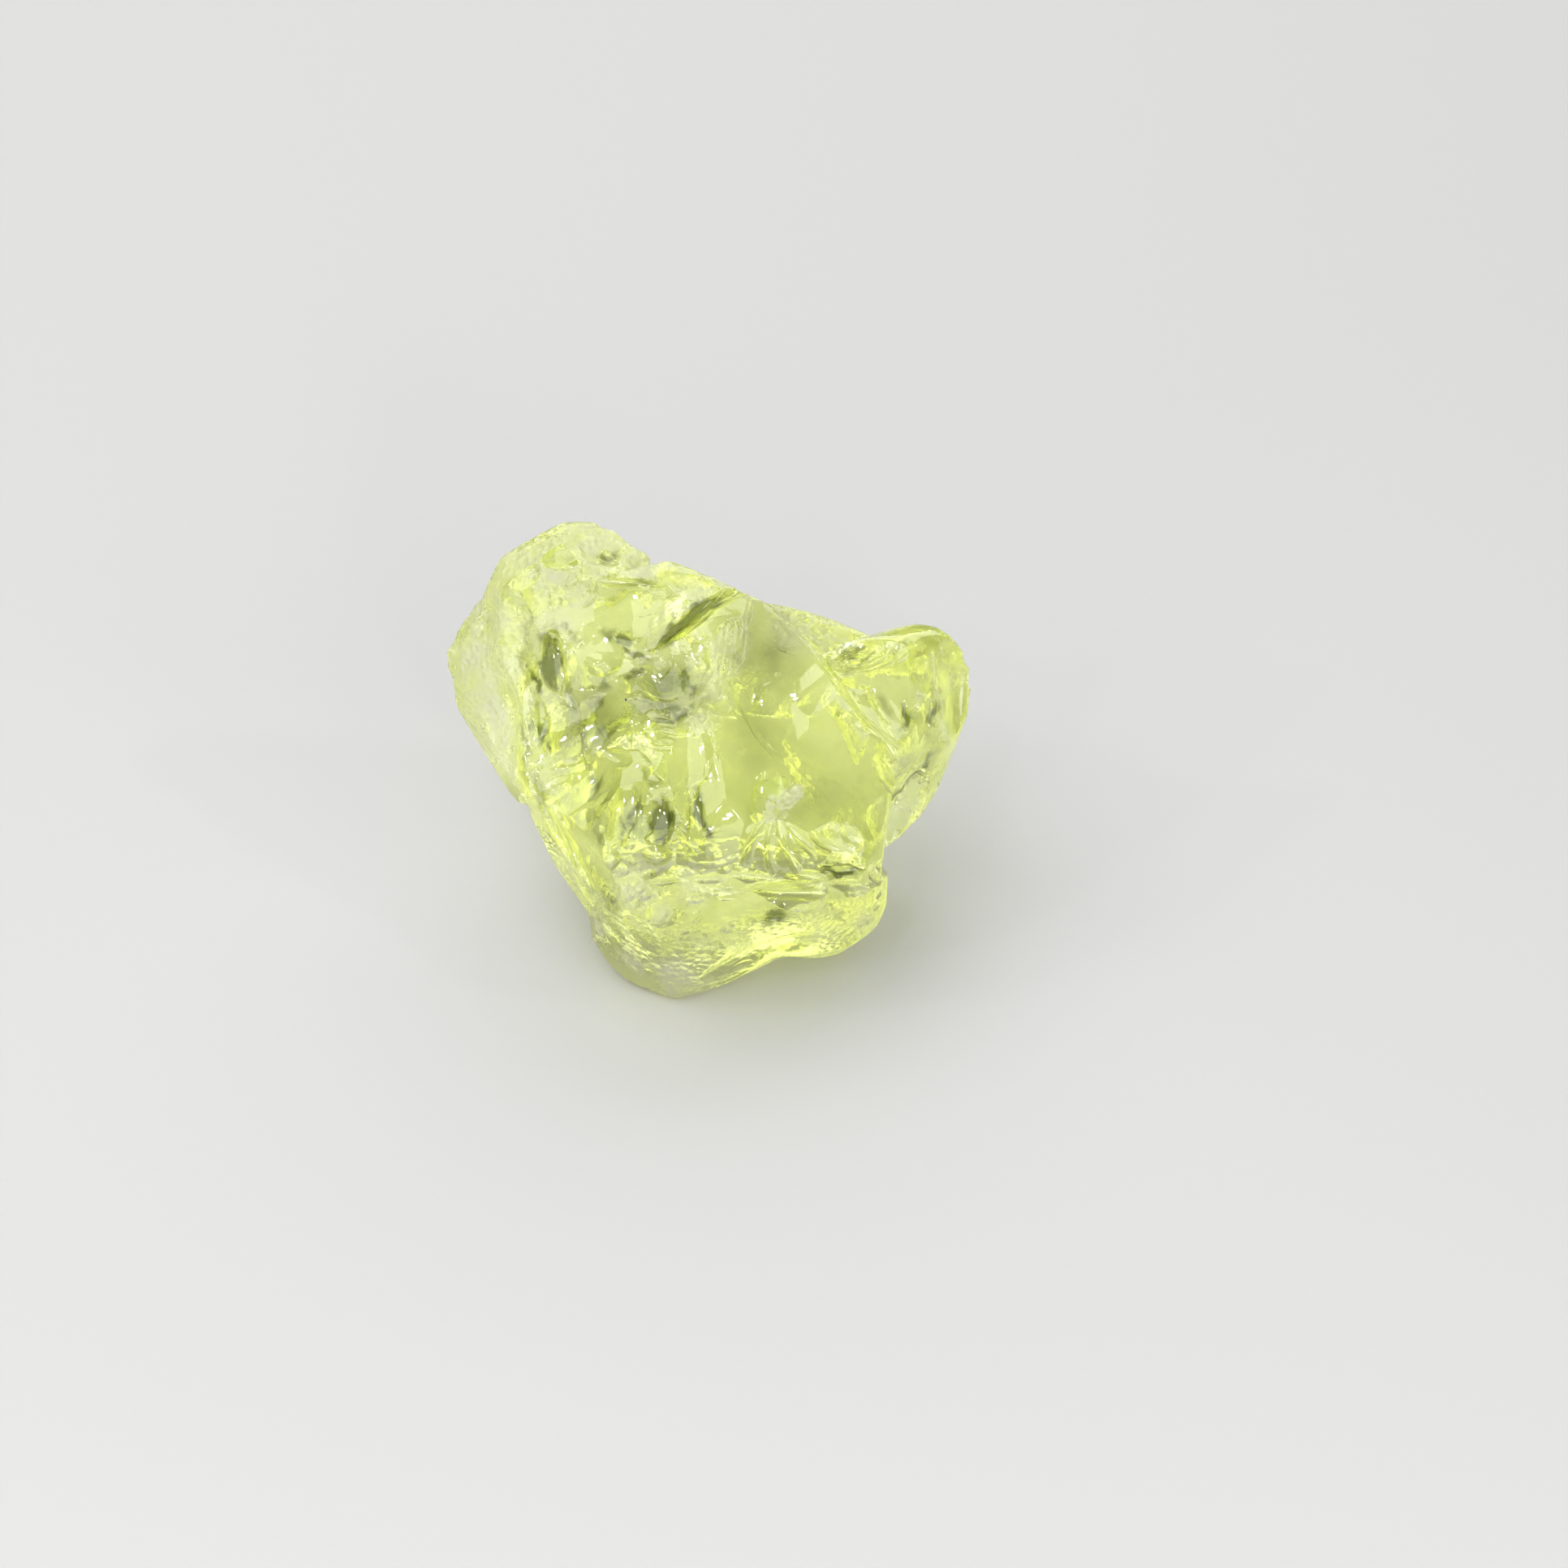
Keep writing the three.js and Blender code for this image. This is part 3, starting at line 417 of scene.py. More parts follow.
def arrays_of(thing):
    """The points and triangles of an object with its modifiers applied."""
    evaluated = thing.evaluated_get(bpy.context.evaluated_depsgraph_get())
    mesh = evaluated.to_mesh()
    mesh.calc_loop_triangles()
    points = np.empty(len(mesh.vertices) * 3)
    mesh.vertices.foreach_get("co", points)
    faces = np.empty(len(mesh.loop_triangles) * 3, np.int32)
    mesh.loop_triangles.foreach_get("vertices", faces)
    evaluated.to_mesh_clear()
    return points.reshape(-1, 3), faces.reshape(-1, 3)


def face_normals(points, faces):
    """The outward way and the area of each face."""
    a, b, c = points[faces[:, 0]], points[faces[:, 1]], points[faces[:, 2]]
    cross = np.cross(b - a, c - a)
    return unit(cross), np.linalg.norm(cross, axis=1) / 2


def point_normals(points, faces):
    """The outward way at each point, from the faces round it."""
    normals, areas = face_normals(points, faces)
    total = np.zeros_like(points)
    for corner in range(3):
        np.add.at(total, faces[:, corner], normals * areas[:, None])
    return unit(total)


def neighbour_faces(faces):
    """Pairs of faces that share an edge, and that edge's two points."""
    edges = np.sort(np.concatenate([faces[:, [0, 1]], faces[:, [1, 2]], faces[:, [2, 0]]]), axis=1)
    owner = np.tile(np.arange(len(faces)), 3)
    order = np.lexsort((edges[:, 1], edges[:, 0]))
    edges, owner = edges[order], owner[order]
    same = np.all(edges[1:] == edges[:-1], axis=1)
    return owner[:-1][same], owner[1:][same], edges[:-1][same]


def crisp_smoothing(points, faces):
    """Smooths the facets and leaves the ridges between them crisp."""
    one, other, _ = neighbour_faces(faces)
    normals, areas = face_normals(points, faces)
    for _ in range(SMOOTHING_TURNS):
        apart = np.sum((normals[one] - normals[other]) ** 2, axis=1)
        weight = np.exp(-apart / (2 * RIDGE_ANGLE ** 2))
        total = normals * areas[:, None]
        np.add.at(total, one, normals[other] * (weight * areas[other])[:, None])
        np.add.at(total, other, normals[one] * (weight * areas[one])[:, None])
        normals = unit(total)
    count = np.zeros(len(points))
    for corner in range(3):
        np.add.at(count, faces[:, corner], 1)
    for _ in range(SMOOTHING_MOVES):
        middle = points[faces].mean(axis=1)
        step = np.zeros_like(points)
        for corner in range(3):
            at = faces[:, corner]
            height = np.sum(normals * (middle - points[at]), axis=1)
            np.add.at(step, at, normals * height[:, None])
        points = points + step / count[:, None]
    return points


def ridges(points, faces):
    """The middles of the edges where two facets meet in a ridge that points outward."""
    one, other, edges = neighbour_faces(faces)
    normals, _ = face_normals(points, faces)
    middles = points[faces].mean(axis=1)
    turn = np.arccos(np.clip(np.sum(normals[one] * normals[other], axis=1), -1, 1))
    outward = np.sum((middles[other] - middles[one]) * normals[one], axis=1) < 0
    return points[edges[outward & (turn > RIDGE_TURN)]].mean(axis=1)


class Skin:
    """The smoothed surface, felt for places to break."""

    def __init__(self, points, faces):
        self.points = points
        self.normals = point_normals(points, faces)
        self.tree = BVHTree.FromPolygons(points.tolist(), faces.tolist())

    def meet(self, at, side="front"):
        """Where the line of sight through a point first meets the stone, or None."""
        right, up, nearer = looked_at(side)
        eye = MIDDLE + nearer * LOOK_DISTANCE
        ahead = MIDDLE + right * at[0] + up * at[1] - eye
        place, *_ = self.tree.ray_cast(Vector(eye), Vector(ahead))
        return None if place is None else np.array(place)

    def on_rim(self, place):
        """Whether a place is at the stone's outline as the front is seen."""
        nearest = np.argmin(np.linalg.norm(self.points - place, axis=1))
        return abs(self.normals[nearest] @ looked_at("front")[2]) < RIM_FACING

    def lie(self, place, size):
        """The middle and the outward way of the patch of skin around a place."""
        apart = np.linalg.norm(self.points - place, axis=1)
        nearest = self.normals[np.argmin(apart)]
        patch = (apart < max(size, 2 * VOXEL)) & (self.normals @ nearest > 0)
        return self.points[patch].mean(axis=0), unit(self.normals[patch].mean(axis=0))


def basis(outward, tall_way):
    """Columns: the wide way, the tall way and outward."""
    tall_way = unit(tall_way - outward * np.dot(tall_way, outward))
    return np.stack([np.cross(tall_way, outward), tall_way, outward], axis=1)


def bowl_points(wide, tall, deep, rings, spokes, ripples, ribs):
    """The lowest point of a flake's cutter, its rings from the inside out, and the top of its roof."""
    ring, spoke = np.meshgrid(np.arange(1, rings + 1), np.arange(spokes), indexing="ij")
    out = ring / rings * REACH
    angle = (spoke + (ring % 2) / 2) / spokes * 2 * math.pi
    u, v = out * np.cos(angle), out * np.sin(angle)
    height = deep * (u * u + v * v - 1)
    if ripples:
        from_strike = np.hypot(u, v - STRIKE_PLACE)
        height = height + RIPPLE_HEIGHT * deep * np.cos(from_strike * ripples * math.pi)
    if ribs:
        height = height + RIB_HEIGHT * deep * np.cos(u * ribs * math.pi)
    sides = np.stack([u * wide, v * tall, height], axis=-1).reshape(-1, 3)
    top = [0, 0, deep * REACH ** 2 + OPENING]
    return np.concatenate([[[0, 0, -deep]], sides, [top]])


def bowl_faces(rings, spokes):
    """The triangles between those points. Each ring is turned half a step against the one before."""
    def corner(at_ring, at_spoke):
        return 1 + (at_ring - 1) * spokes + at_spoke % spokes

    lowest, top = 0, 1 + rings * spokes
    faces = []
    for s in range(spokes):
        faces.append((lowest, corner(1, s + 1), corner(1, s)))
        for r in range(1, rings):
            stagger = r % 2
            a, b = corner(r, s), corner(r, s + 1)
            c, d = corner(r + 1, s + stagger), corner(r + 1, s + stagger + 1)
            faces += [(a, b, c), (b, d, c)] if stagger else [(a, b, d), (a, d, c)]
        faces.append((corner(rings, s), corner(rings, s + 1), top))
    return np.array(faces)


def bowl(wide, tall, deep, ripples=0, ribs=0):
    """The cutter of a flake: a bowl that opens along +Z, closed over by a steep roof."""
    largest = max(wide, tall)
    step = max(FINEST_STEP, STEP_SHARE * largest)
    if ripples or ribs:
        step = FINEST_STEP
    rings = max(FEWEST_RINGS, round(REACH * largest / step))
    rim_length = 2 * math.pi * math.sqrt(wide * tall)
    spokes = int(np.clip(round(rim_length / step), FEWEST_SPOKES, MOST_SPOKES))
    return bowl_points(wide, tall, deep, rings, spokes, ripples, ribs), bowl_faces(rings, spokes)


class Flake:
    """One shallow bowl to break out of the skin, and its cutter."""

    def __init__(self, skin, place, tall_way, wide, tall, deep, lean=(0, 0), frost=None, **relief):
        middle, outward = skin.lie(place, SKIN_SHARE * math.sqrt(wide * tall))
        flat_ways = basis(outward, tall_way)
        tip = np.array([math.tan(math.radians(lean[0])), math.tan(math.radians(lean[1])), 1.0])
        self.ways = basis(unit(flat_ways @ tip), flat_ways[:, 1])
        self.middle = place - outward * np.dot(place - middle, outward)
        self.wide, self.tall, self.deep, self.frost = wide, tall, deep, frost
        points, self.faces = bowl(wide, tall, deep, **relief)
        self.points = self.middle + points @ self.ways.T
        self.radius = REACH * max(wide, tall)

    def marks(self, points):
        """Which points lie on this flake's own surface."""
        near = np.linalg.norm(points - self.middle, axis=1) < self.radius
        u, v, z = ((points[near] - self.middle) @ self.ways).T
        u, v = u / self.wide, v / self.tall
        off = np.abs(z - self.deep * (u * u + v * v - 1))
        found = np.zeros(len(points), bool)
        found[near] = (off < MARK_HEIGHT * self.deep) & (u * u + v * v < MARK_REACH)
        return found


def placed_flakes(skin):
    """The flakes that are listed one by one."""
    right, up, _ = looked_at("front")
    flakes = []
    for row in FLAKES:
        row = dict(row)
        turn = math.radians(row.pop("turn"))
        tall_way = -right * math.sin(turn) + up * math.cos(turn)
        place = skin.meet(row.pop("at"))
        if place is not None:
            flakes.append(Flake(skin, place, tall_way, **row))
    return flakes


def strewn_flakes(skin):
    """The loose chips. Each patch draws its own numbers, so that changing one leaves the others."""
    flakes = []
    for number, patch in enumerate(STREWN):
        draw = np.random.default_rng([CHIP_SEED, number])
        smallest, largest = patch["sizes"]
        for _ in range(patch["count"]):
            reach, angle = math.sqrt(draw.random()), draw.uniform(0, 2 * math.pi)
            size = smallest * (largest / smallest) ** (draw.random() ** CHIP_SPREAD)
            slim = draw.uniform(*CHIP_SLIM)
            tall_way = draw.normal(size=3)
            lean = draw.uniform(-CHIP_LEAN, CHIP_LEAN, 2)
            deep = size * draw.uniform(*CHIP_DEPTH)
            at = (patch["at"][0] + patch["wide"] * reach * math.cos(angle),
                  patch["at"][1] + patch["tall"] * reach * math.sin(angle))
            place = skin.meet(at, patch["side"])
            if place is None or place[2] <= CHIP_FLOOR:
                continue
            if size > RIM_LARGEST and skin.on_rim(place):
                continue
            flakes.append(Flake(skin, place, tall_way, size * slim, size, deep, lean))
    return flakes


def ridge_chips(skin, ridge_points):
    """The small crushed chips along the sharpest ridges."""
    draw = np.random.default_rng(CHIP_SEED)
    flakes = []
    for pick in draw.choice(len(ridge_points), RIDGE_CHIPS, replace=False):
        size = RIDGE_CHIP_SMALLEST * RIDGE_CHIP_RANGE ** (draw.random() ** RIDGE_CHIP_SPREAD)
        slim = draw.uniform(*RIDGE_CHIP_SLIM)
        tall_way = draw.normal(size=3)
        place = ridge_points[pick]
        if place[2] > RIDGE_CHIP_FLOOR:
            deep = RIDGE_CHIP_DEPTH * size
            flakes.append(Flake(skin, place, tall_way, size * slim, size, deep, frost=RIDGE_CHIP_FROST))
    return flakes


def crack_sheet(skin, ends, bow, deep, slant):
    """Both sides of a thin curved wedge, as a grid of points: along the mouth, then down."""
    right, up, nearer = looked_at("front")
    (x0, y0), (x1, y1) = ends
    length = math.hypot(x1 - x0, y1 - y0)
    left = np.array([-(y1 - y0), x1 - x0]) / length
    along_count = max(FEWEST_ALONG, round(length / CRACK_STEP))
    down_count = max(FEWEST_DOWN, round((deep + CRACK_ABOVE) / CRACK_STEP))
    sideways = right * left[0] + up * left[1]
    slope = math.radians(slant)
    inward = -nearer * math.cos(slope) + sideways * math.sin(slope)
    across = unit(np.cross(inward, right * (x1 - x0) + up * (y1 - y0)))
    sheet = []
    for i in range(along_count + 1):
        share = i / along_count
        hump = math.sin(math.pi * share)
        mouth = skin.meet((x0 + (x1 - x0) * share + left[0] * bow * hump,
                           y0 + (y1 - y0) * share + left[1] * bow * hump))
        if mouth is None:
            return None
        floor_depth = deep * (CRACK_END_DEPTH + (1 - CRACK_END_DEPTH) * hump)
        for j in range(down_count + 1):
            down = j / down_count
            depth = -CRACK_ABOVE + (floor_depth + CRACK_ABOVE) * down
            ripple = sum(high * math.sin(along * share + below * down)
                         for high, along, below in CRACK_WAVES)
            bend = CRACK_BEND * depth * depth / deep
            width = CRACK_WIDTH + (CRACK_TIP - CRACK_WIDTH) * max(depth, 0) / floor_depth
            middle = mouth + inward * depth + across * (ripple + bend)
            sheet.append((middle - across * width / 2, middle + across * width / 2))
    return np.array(sheet).reshape(along_count + 1, down_count + 1, 2, 3)


def crack_cutter(sheet):
    """The closed wedge between the two sides of a sheet."""
    rows, columns = sheet.shape[:2]
    first = np.arange(rows * columns).reshape(rows, columns)
    shift = rows * columns
    faces = []
    for grid, flip in ((first, False), (first + shift, True)):
        a, b = grid[:-1, :-1].ravel(), grid[1:, :-1].ravel()
        c, d = grid[1:, 1:].ravel(), grid[:-1, 1:].ravel()
        for triangle in ((a, b, c), (a, c, d)):
            faces.append(np.stack(triangle[::-1] if flip else triangle, axis=1))
    border = np.concatenate([first[:-1, 0], first[-1, :-1], first[:0:-1, -1], first[0, :0:-1]])
    following = np.roll(border, -1)
    faces.append(np.stack([border, border + shift, following + shift], axis=1))
    faces.append(np.stack([border, following + shift, following], axis=1))
    points = np.concatenate([sheet[:, :, 0].reshape(-1, 3), sheet[:, :, 1].reshape(-1, 3)])
    faces = np.concatenate(faces)
    a, b, c = (points[faces[:, k]] for k in range(3))
    inside_out = np.sum(a * np.cross(b, c)) < 0
    return points, faces[:, ::-1] if inside_out else faces


def crack_cutters(skin):
    """The cutters of all cracks whose mouth lies on the stone."""
    sheets = [crack_sheet(skin, **row) for row in CRACKS]
    return [crack_cutter(sheet) for sheet in sheets if sheet is not None]


def mesh_object(name, points, faces):
    """A new object in the scene, from points and faces."""
    mesh = bpy.data.meshes.new(name)
    mesh.from_pydata(points.tolist(), [], faces.tolist())
    thing = bpy.data.objects.new(name, mesh)
    bpy.context.scene.collection.objects.link(thing)
    return thing


def joined(shapes):
    """Several points and faces arrays as one."""
    starts = np.cumsum([0] + [len(points) for points, _ in shapes[:-1]])
    return (np.concatenate([points for points, _ in shapes]),
            np.concatenate([faces + start for (_, faces), start in zip(shapes, starts)]))


def clear_of(flake, other):
    """Whether the cutters of two flakes can't touch each other."""
    return np.linalg.norm(flake.middle - other.middle) > flake.radius + other.radius


def in_batches(flakes):
    """Groups of flakes whose cutters don't touch each other."""
    batches = []
    for flake in flakes:
        for batch in batches:
            if all(clear_of(flake, other) for other in batch):
                batch.append(flake)
                break
        else:
            batches.append([flake])
    return batches


def broken(points, faces, cutters):
    """The stone with each joined cutter taken away from it."""
    stone = mesh_object("uncut", points, faces)
    things = []
    for cutter_points, cutter_faces in cutters:
        thing = mesh_object("cutter", cutter_points, cutter_faces)
        things.append(thing)
        cut = stone.modifiers.new("cut", "BOOLEAN")
        cut.operation = "DIFFERENCE"
        cut.solver = "MANIFOLD"
        cut.object = thing
    points, faces = arrays_of(stone)
    for thing in [stone, *things]:
        bpy.data.objects.remove(thing)
    return points, faces


def largest_piece(points, faces):
    """Splinters that were cut loose have fallen away."""
    label = np.arange(len(points))
    while True:
        lowest = label[faces].min(axis=1)
        new = label.copy()
        for corner in range(3):
            np.minimum.at(new, faces[:, corner], lowest)
        new = new[new]
        if np.array_equal(new, label):
            break
        label = new
    names, counts = np.unique(label[faces[:, 0]], return_counts=True)
    faces = faces[label[faces[:, 0]] == names[np.argmax(counts)]]
    used, flat = np.unique(faces, return_inverse=True)
    return points[used], flat.reshape(-1, 3)


def from_nearest(points, targets):
    """How far each point is from the nearest of the targets."""
    tree = KDTree(len(targets))
    for index, place in enumerate(targets):
        tree.insert(place, index)
    tree.balance()
    return np.array([tree.find(place)[2] for place in points])


def frost_and_painted_light_amount(points, normals, flakes, ridge_points):
    """How whitish and crushed each point of the surface is, from 0 to 1. A few places are whitened as
    painted light.
    """
    right, up, nearer = looked_at("front")
    facing = normals @ nearer
    offset = points - MIDDLE
    amount = np.where(facing < 0.0, HIDDEN_FROST, 0.0)
    for x, y, size, strength in FROST_AND_PAINTED_LIGHT:
        apart = np.hypot(offset @ right - x, offset @ up - y) / size
        frosted = strength * np.exp(-apart ** 2 * FROST_FALL)
        amount = np.maximum(amount, frosted * (facing > FROST_FACING))
    apart = from_nearest(points, ridge_points)
    amount = np.maximum(amount, RIDGE_FROST * np.exp(-(apart / RIDGE_FROST_REACH) ** 2))
    for flake in flakes:
        if flake.frost is not None:
            amount[flake.marks(points)] = flake.frost
    return np.clip(amount, 0, 1)


def ragged(x, y):
    """Both coordinates, shaken by slanting coarse and fine waves, so that edges come out ragged."""
    return (x + COARSE_WAVE * np.sin(2.7 * y + 1.3 * x) + FINE_WAVE * np.sin(7.1 * y - 2.0 * x),
            y + COARSE_WAVE * np.sin(2.9 * x - 1.1 * y) + FINE_WAVE * np.sin(6.3 * x + 2.4 * y))


def soft_round(u, v):
    """A place that fades out softly: 1 at its middle, low past its rim."""
    return np.exp(-(u * u + v * v) ** 1.3)


def edged_oblong(u, v):
    """A place with full corners and an edge."""
    return np.exp(-(np.abs(u) ** 3 + np.abs(v) ** 3) ** 1.6)


def painted_shade_amount(points, normals):
    """How dark the painted shade makes each point of the surface, from 0 up. The material holds it at 1.
    """
    right, up, nearer = looked_at("front")
    offset = points - MIDDLE
    x, y = ragged(offset @ right, offset @ up)
    amount = np.zeros(len(points))
    for at_x, at_y, wide, tall, turn, strength in PAINTED_SHADE:
        lean = math.radians(turn)
        u = ((x - at_x) * math.cos(lean) + (y - at_y) * math.sin(lean)) / wide
        v = ((y - at_y) * math.cos(lean) - (x - at_x) * math.sin(lean)) / tall
        if wide > BROAD_SHADE:
            shaded = BROAD_GAIN * strength * soft_round(u, v)
        else:
            shaded = EDGED_GAIN * strength * edged_oblong(u, v)
        amount = np.maximum(amount, shaded)
    return amount * (normals @ nearer > SHADE_FACING)


def node(tree, kind, inputs=None, **settings):
    """A shader node. An input is a number, a colour or another node's output, by its name or place."""
    made = tree.nodes.new("ShaderNode" + kind)
    for name, value in settings.items():
        setattr(made, name, value)
    for name, value in (inputs or {}).items():
        if isinstance(value, bpy.types.NodeSocket):
            tree.links.new(value, made.inputs[name])
        else:
            made.inputs[name].default_value = value
    return made


def mapped(tree, value, span, onto):
    """A value moved from one span onto another, and held inside it."""
    ends = {1: span[0], 2: span[1], 3: onto[0], 4: onto[1]}
    return node(tree, "MapRange", {0: value, **ends}).outputs[0]


def calculated(tree, operation, one, other, clamp=False):
    """Two values put together, held between 0 and 1 where clamp says so."""
    made = node(tree, "Math", {0: one, 1: other}, operation=operation, use_clamp=clamp)
    return made.outputs[0]


def blended(tree, share, colour, other):
    """A colour with a share of another mixed in. The sockets for colours are numbers 6 and 7."""
    return node(tree, "Mix", {0: share, 6: colour, 7: other}, data_type="RGBA").outputs[2]


def camera():
    """The eye that the front of the stone was laid out for."""
    scene = bpy.context.scene
    eye_object = bpy.data.objects.new("camera", bpy.data.cameras.new("camera"))
    scene.collection.objects.link(eye_object)
    right_way, up_way, nearer = looked_at("front")
    right, up = PICTURE_CENTRE
    eye = MIDDLE + nearer * LOOK_DISTANCE
    aim = MIDDLE + right_way * right + up_way * up
    eye_object.location = Vector(eye * MM)
    eye_object.rotation_euler = Vector((aim - eye) * MM).to_track_quat("-Z", "Y").to_euler()
    eye_object.data.sensor_width = SENSOR
    eye_object.data.lens = SENSOR * LOOK_DISTANCE / (PICTURE_SIDE * MM_PER_PIXEL)
    eye_object.data.clip_start = 0.01
    eye_object.data.clip_end = 20
    scene.camera = eye_object


def sky():
    """A dim room that grows lighter towards the top."""
    world = bpy.data.worlds.new("studio")
    bpy.context.scene.world = world
    world.use_nodes = True
    tree = world.node_tree
    tree.nodes.clear()
    where = node(tree, "TexCoord").outputs["Generated"]
    height = node(tree, "SeparateXYZ", {0: where}).outputs["Z"]
    ramp = node(tree, "ValToRGB", {0: height})
    greys = ramp.color_ramp.elements
    greys.remove(greys[1])
    greys[0].position, greys[0].color = SKY[0]
    for position, grey in SKY[1:]:
        greys.new(position).color = grey
    background = node(tree, "Background", {0: ramp.outputs[0], 1: SKY_STRENGTH})
    node(tree, "OutputWorld", {0: background.outputs[0]})


def softbox(name, place, size, power):
    """A flat lamp that shines at the middle of the stone and that the camera doesn't see."""
    light = bpy.data.lights.new(name, "AREA")
    light.shape = "RECTANGLE"
    light.size, light.size_y = size[0] * MM, size[1] * MM
    light.energy = power
    lamp = bpy.data.objects.new(name, light)
    bpy.context.scene.collection.objects.link(lamp)
    spot = MIDDLE + np.array(place, float)
    lamp.location = Vector(spot * MM)
    lamp.visible_camera = False
    lamp.rotation_euler = Vector(MIDDLE - spot).to_track_quat("-Z", "Y").to_euler()


def lamps():
    """The soft studio lamps, and the small boxes for the glints."""
    for row in LAMPS:
        softbox(*row)
    for number, place in enumerate(GLINTS, start=1):
        softbox("glint_light_%d" % number, place, GLINT_SIZE, GLINT_POWER)


def light_paths():
    """How light is followed through the clear stone, and how its brightness is shown."""
    scene = bpy.context.scene
    scene.view_settings.view_transform = "Standard"
    scene.cycles.max_bounces = 24
    scene.cycles.transmission_bounces = 20
    scene.cycles.glossy_bounces = 8
    scene.cycles.use_denoising = True
    scene.cycles.sample_clamp_indirect = 8
    scene.cycles.blur_glossy = 0.5


def studio_floor():
    """A plain pale floor, which is no part of the stone."""
    half = FLOOR_HALF * MM
    mesh = bpy.data.meshes.new("floor")
    corners = [(-half, -half, 0), (half, -half, 0), (half, half, 0), (-half, half, 0)]
    mesh.from_pydata(corners, [], [(0, 1, 2, 3)])
    floor = bpy.data.objects.new("floor", mesh)
    bpy.context.scene.collection.objects.link(floor)
    material = bpy.data.materials.new("floor")
    material.use_nodes = True
    shader = material.node_tree.nodes["Principled BSDF"]
    shader.inputs["Base Color"].default_value = FLOOR_COLOUR
    shader.inputs["Roughness"].default_value = FLOOR_ROUGHNESS
    mesh.materials.append(material)


def on_speck(tree, place, spots):
    """1 inside a speck and 0 elsewhere."""
    nearest = None
    for spot in spots:
        apart = node(tree, "VectorMath", {0: place, 1: spot}, operation="DISTANCE").outputs["Value"]
        nearest = apart if nearest is None else calculated(tree, "MINIMUM", nearest, apart)
    return calculated(tree, "LESS_THAN", nearest, SPECK_RADIUS * MM)


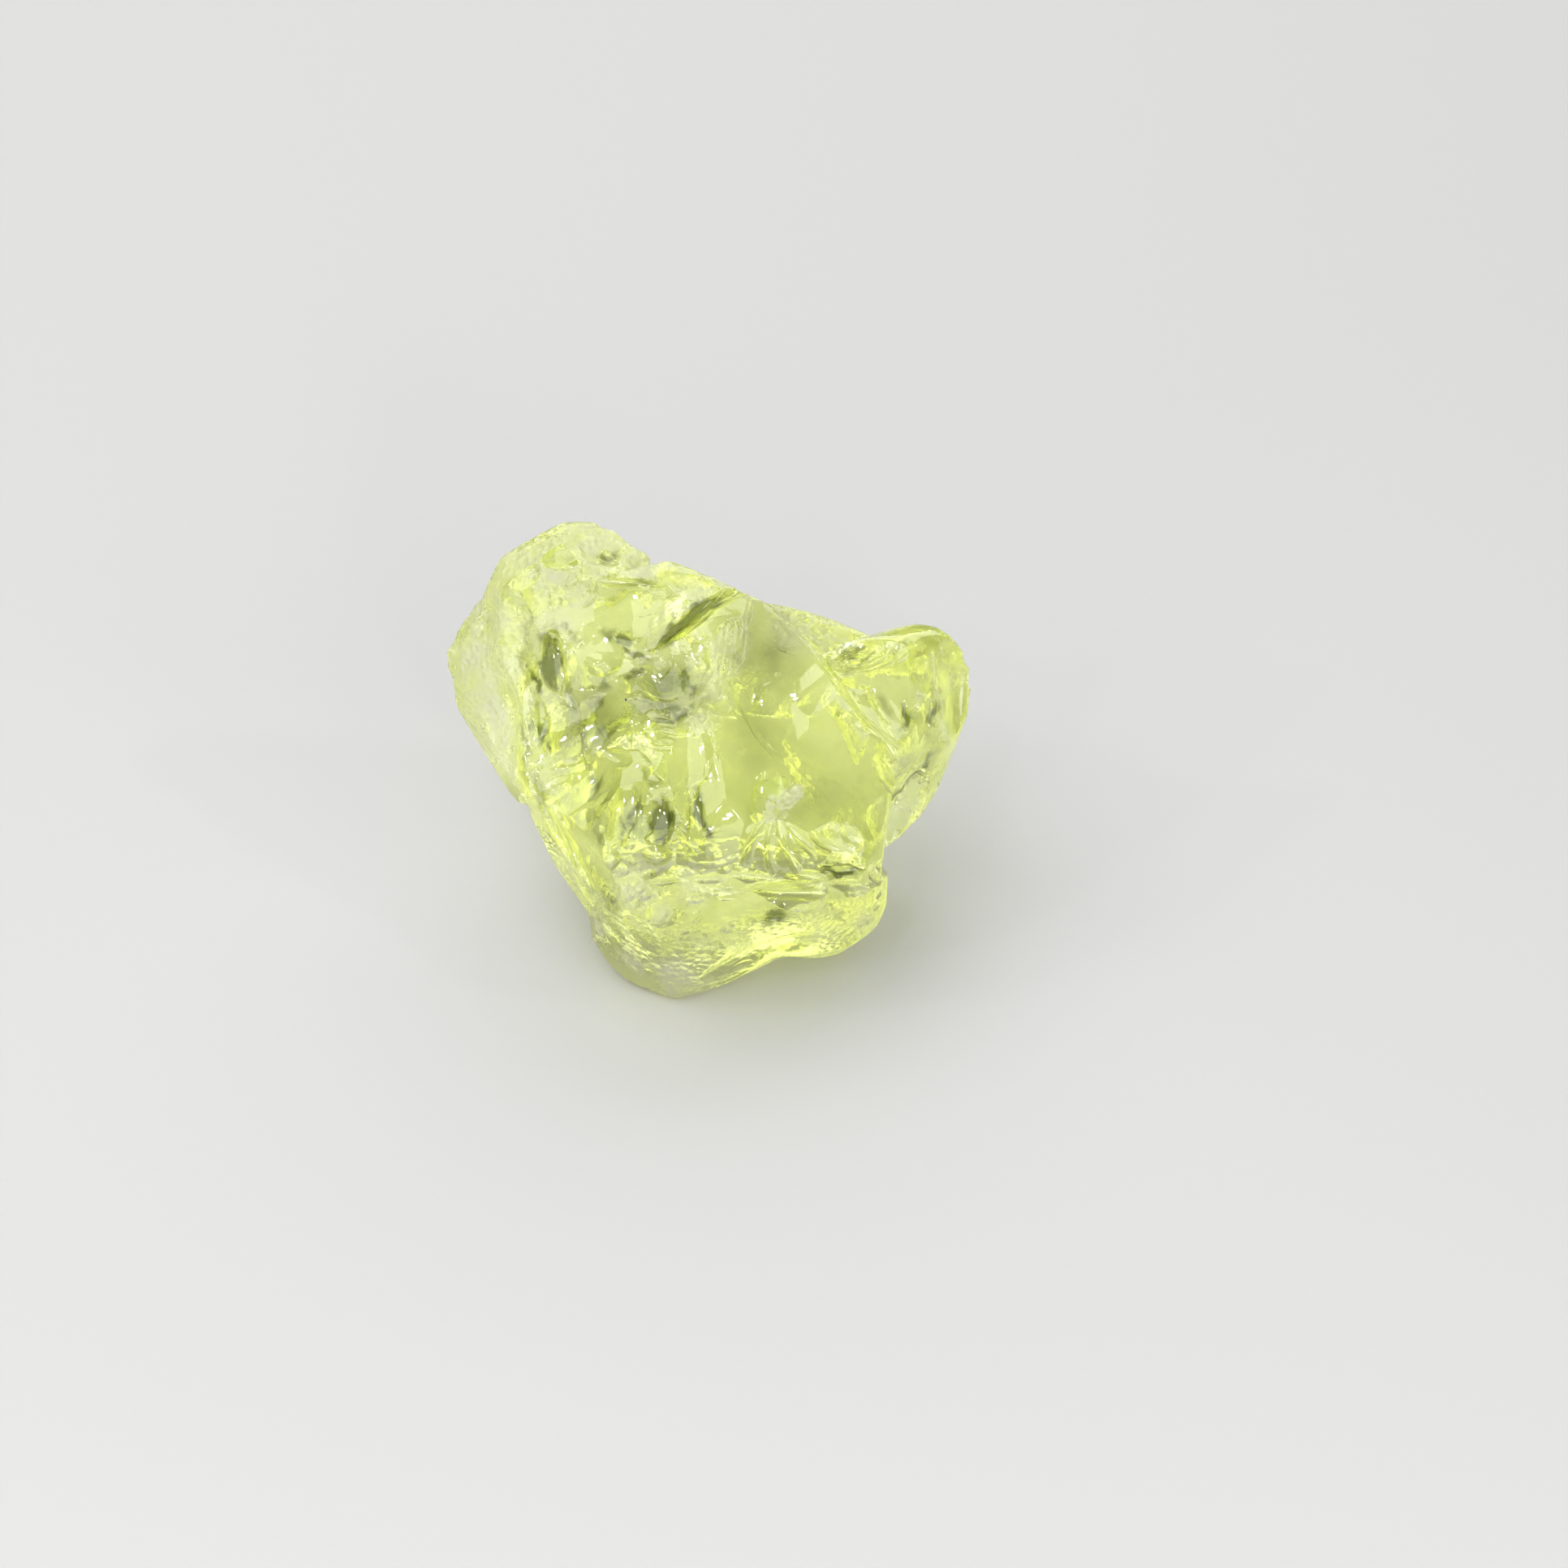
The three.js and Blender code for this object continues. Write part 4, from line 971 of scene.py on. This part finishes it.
def quartz(speck_places):
    """Clear yellow-green crystal: whiter and rougher where crushed and at a few places of painted light,
    and darker under painted shade.
    """
    material = bpy.data.materials.new("prasiolite")
    material.use_nodes = True
    tree = material.node_tree
    shader = tree.nodes["Principled BSDF"]
    place = node(tree, "TexCoord").outputs["Object"]
    frost = node(tree, "Attribute", attribute_name="frost").outputs["Fac"]
    shade = node(tree, "Attribute", attribute_name="shade").outputs["Fac"]
    patches = node(tree, "TexNoise", {"Vector": place, "Scale": PATCH_SCALE, "Detail": 4}).outputs[0]
    grain = node(tree, "TexNoise", {"Vector": place, "Scale": GRAIN_SCALE, "Detail": 3}).outputs[0]
    splinters = node(tree, "TexVoronoi", {"Vector": place, "Scale": SPLINTER_SCALE}).outputs["Distance"]

    # Frost, with its few places of painted light, and painted shade break up into patches
    uneven_frost = mapped(tree, patches, (0.3, 0.7), (0.4, 1.4))
    crushed = calculated(tree, "MULTIPLY", frost, uneven_frost, clamp=True)
    uneven_shade = mapped(tree, patches, (0.3, 0.7), (0.7, 1.3))
    shaded = calculated(tree, "MULTIPLY", shade, uneven_shade, clamp=True)

    rough = mapped(tree, crushed, (0.0, 1.0), (GLOSSY, CRUSHED))
    uneven = mapped(tree, patches, (0.35, 0.65), (0.0, UNEVEN_GLOSS))
    tree.links.new(calculated(tree, "ADD", rough, uneven), shader.inputs["Roughness"])

    colour = blended(tree, crushed, CLEAR_COLOUR, FROST_AND_PAINTED_LIGHT_COLOUR)
    colour = blended(tree, shaded, colour, PAINTED_SHADE_COLOUR)
    colour = blended(tree, on_speck(tree, place, speck_places), colour, SPECK_COLOUR)
    tree.links.new(colour, shader.inputs["Base Color"])

    # Fine grain in the relief, stronger where the surface is crushed
    relief = {"Strength": mapped(tree, crushed, (0.0, 1.0), RELIEF_STRENGTH)}
    bump = node(tree, "Bump", {**relief, "Distance": GRAIN_RELIEF, "Height": grain}).outputs[0]
    relief["Normal"] = bump
    bump = node(tree, "Bump", {**relief, "Distance": SPLINTER_RELIEF, "Height": splinters}).outputs[0]
    tree.links.new(bump, shader.inputs["Normal"])

    shader.inputs["Transmission Weight"].default_value = TRANSMISSION
    shader.inputs["IOR"].default_value = QUARTZ_IOR
    volume = tree.nodes.new("ShaderNodeVolumeAbsorption")
    volume.inputs["Color"].default_value = INNER_COLOUR
    volume.inputs["Density"].default_value = INNER_DENSITY
    tree.links.new(volume.outputs[0], tree.nodes["Material Output"].inputs["Volume"])
    return material


def add_amounts(mesh, name, amounts):
    """One number for each point of a mesh, which its material reads by name."""
    attribute = mesh.attributes.new(name, "FLOAT", "POINT")
    attribute.data.foreach_set("value", amounts.astype(np.float32))


def prasiolite():
    """The stone: its surface, broken further, with its frost, painted shade and material."""
    points, faces = surface_arrays(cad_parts["prasiolite"])
    points = crisp_smoothing(points, faces)
    skin = Skin(points, faces)
    ridge_points = ridges(points, faces)
    flakes = placed_flakes(skin) + strewn_flakes(skin) + ridge_chips(skin, ridge_points)
    cutters = [joined([(flake.points, flake.faces) for flake in batch]) for batch in in_batches(flakes)]
    points, faces = broken(points, faces, cutters + crack_cutters(skin))
    points, faces = largest_piece(points, faces)
    normals = point_normals(points, faces)
    mesh = bpy.data.meshes.new("prasiolite")
    mesh.from_pydata((points * MM).tolist(), [], faces.tolist())
    add_amounts(mesh, "frost", frost_and_painted_light_amount(points, normals, flakes, ridge_points))
    add_amounts(mesh, "shade", painted_shade_amount(points, normals))
    mesh.shade_smooth()
    mesh.set_sharp_from_angle(angle=SHARP_ANGLE)
    mesh.materials.append(quartz([Vector(skin.meet(at) * MM) for at in SPECKS]))
    stone = bpy.data.objects.new("prasiolite_stone", mesh)
    bpy.context.scene.collection.objects.link(stone)
    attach(stone, "root")
    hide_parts("prasiolite")


camera()
sky()
lamps()
light_paths()
studio_floor()
prasiolite()
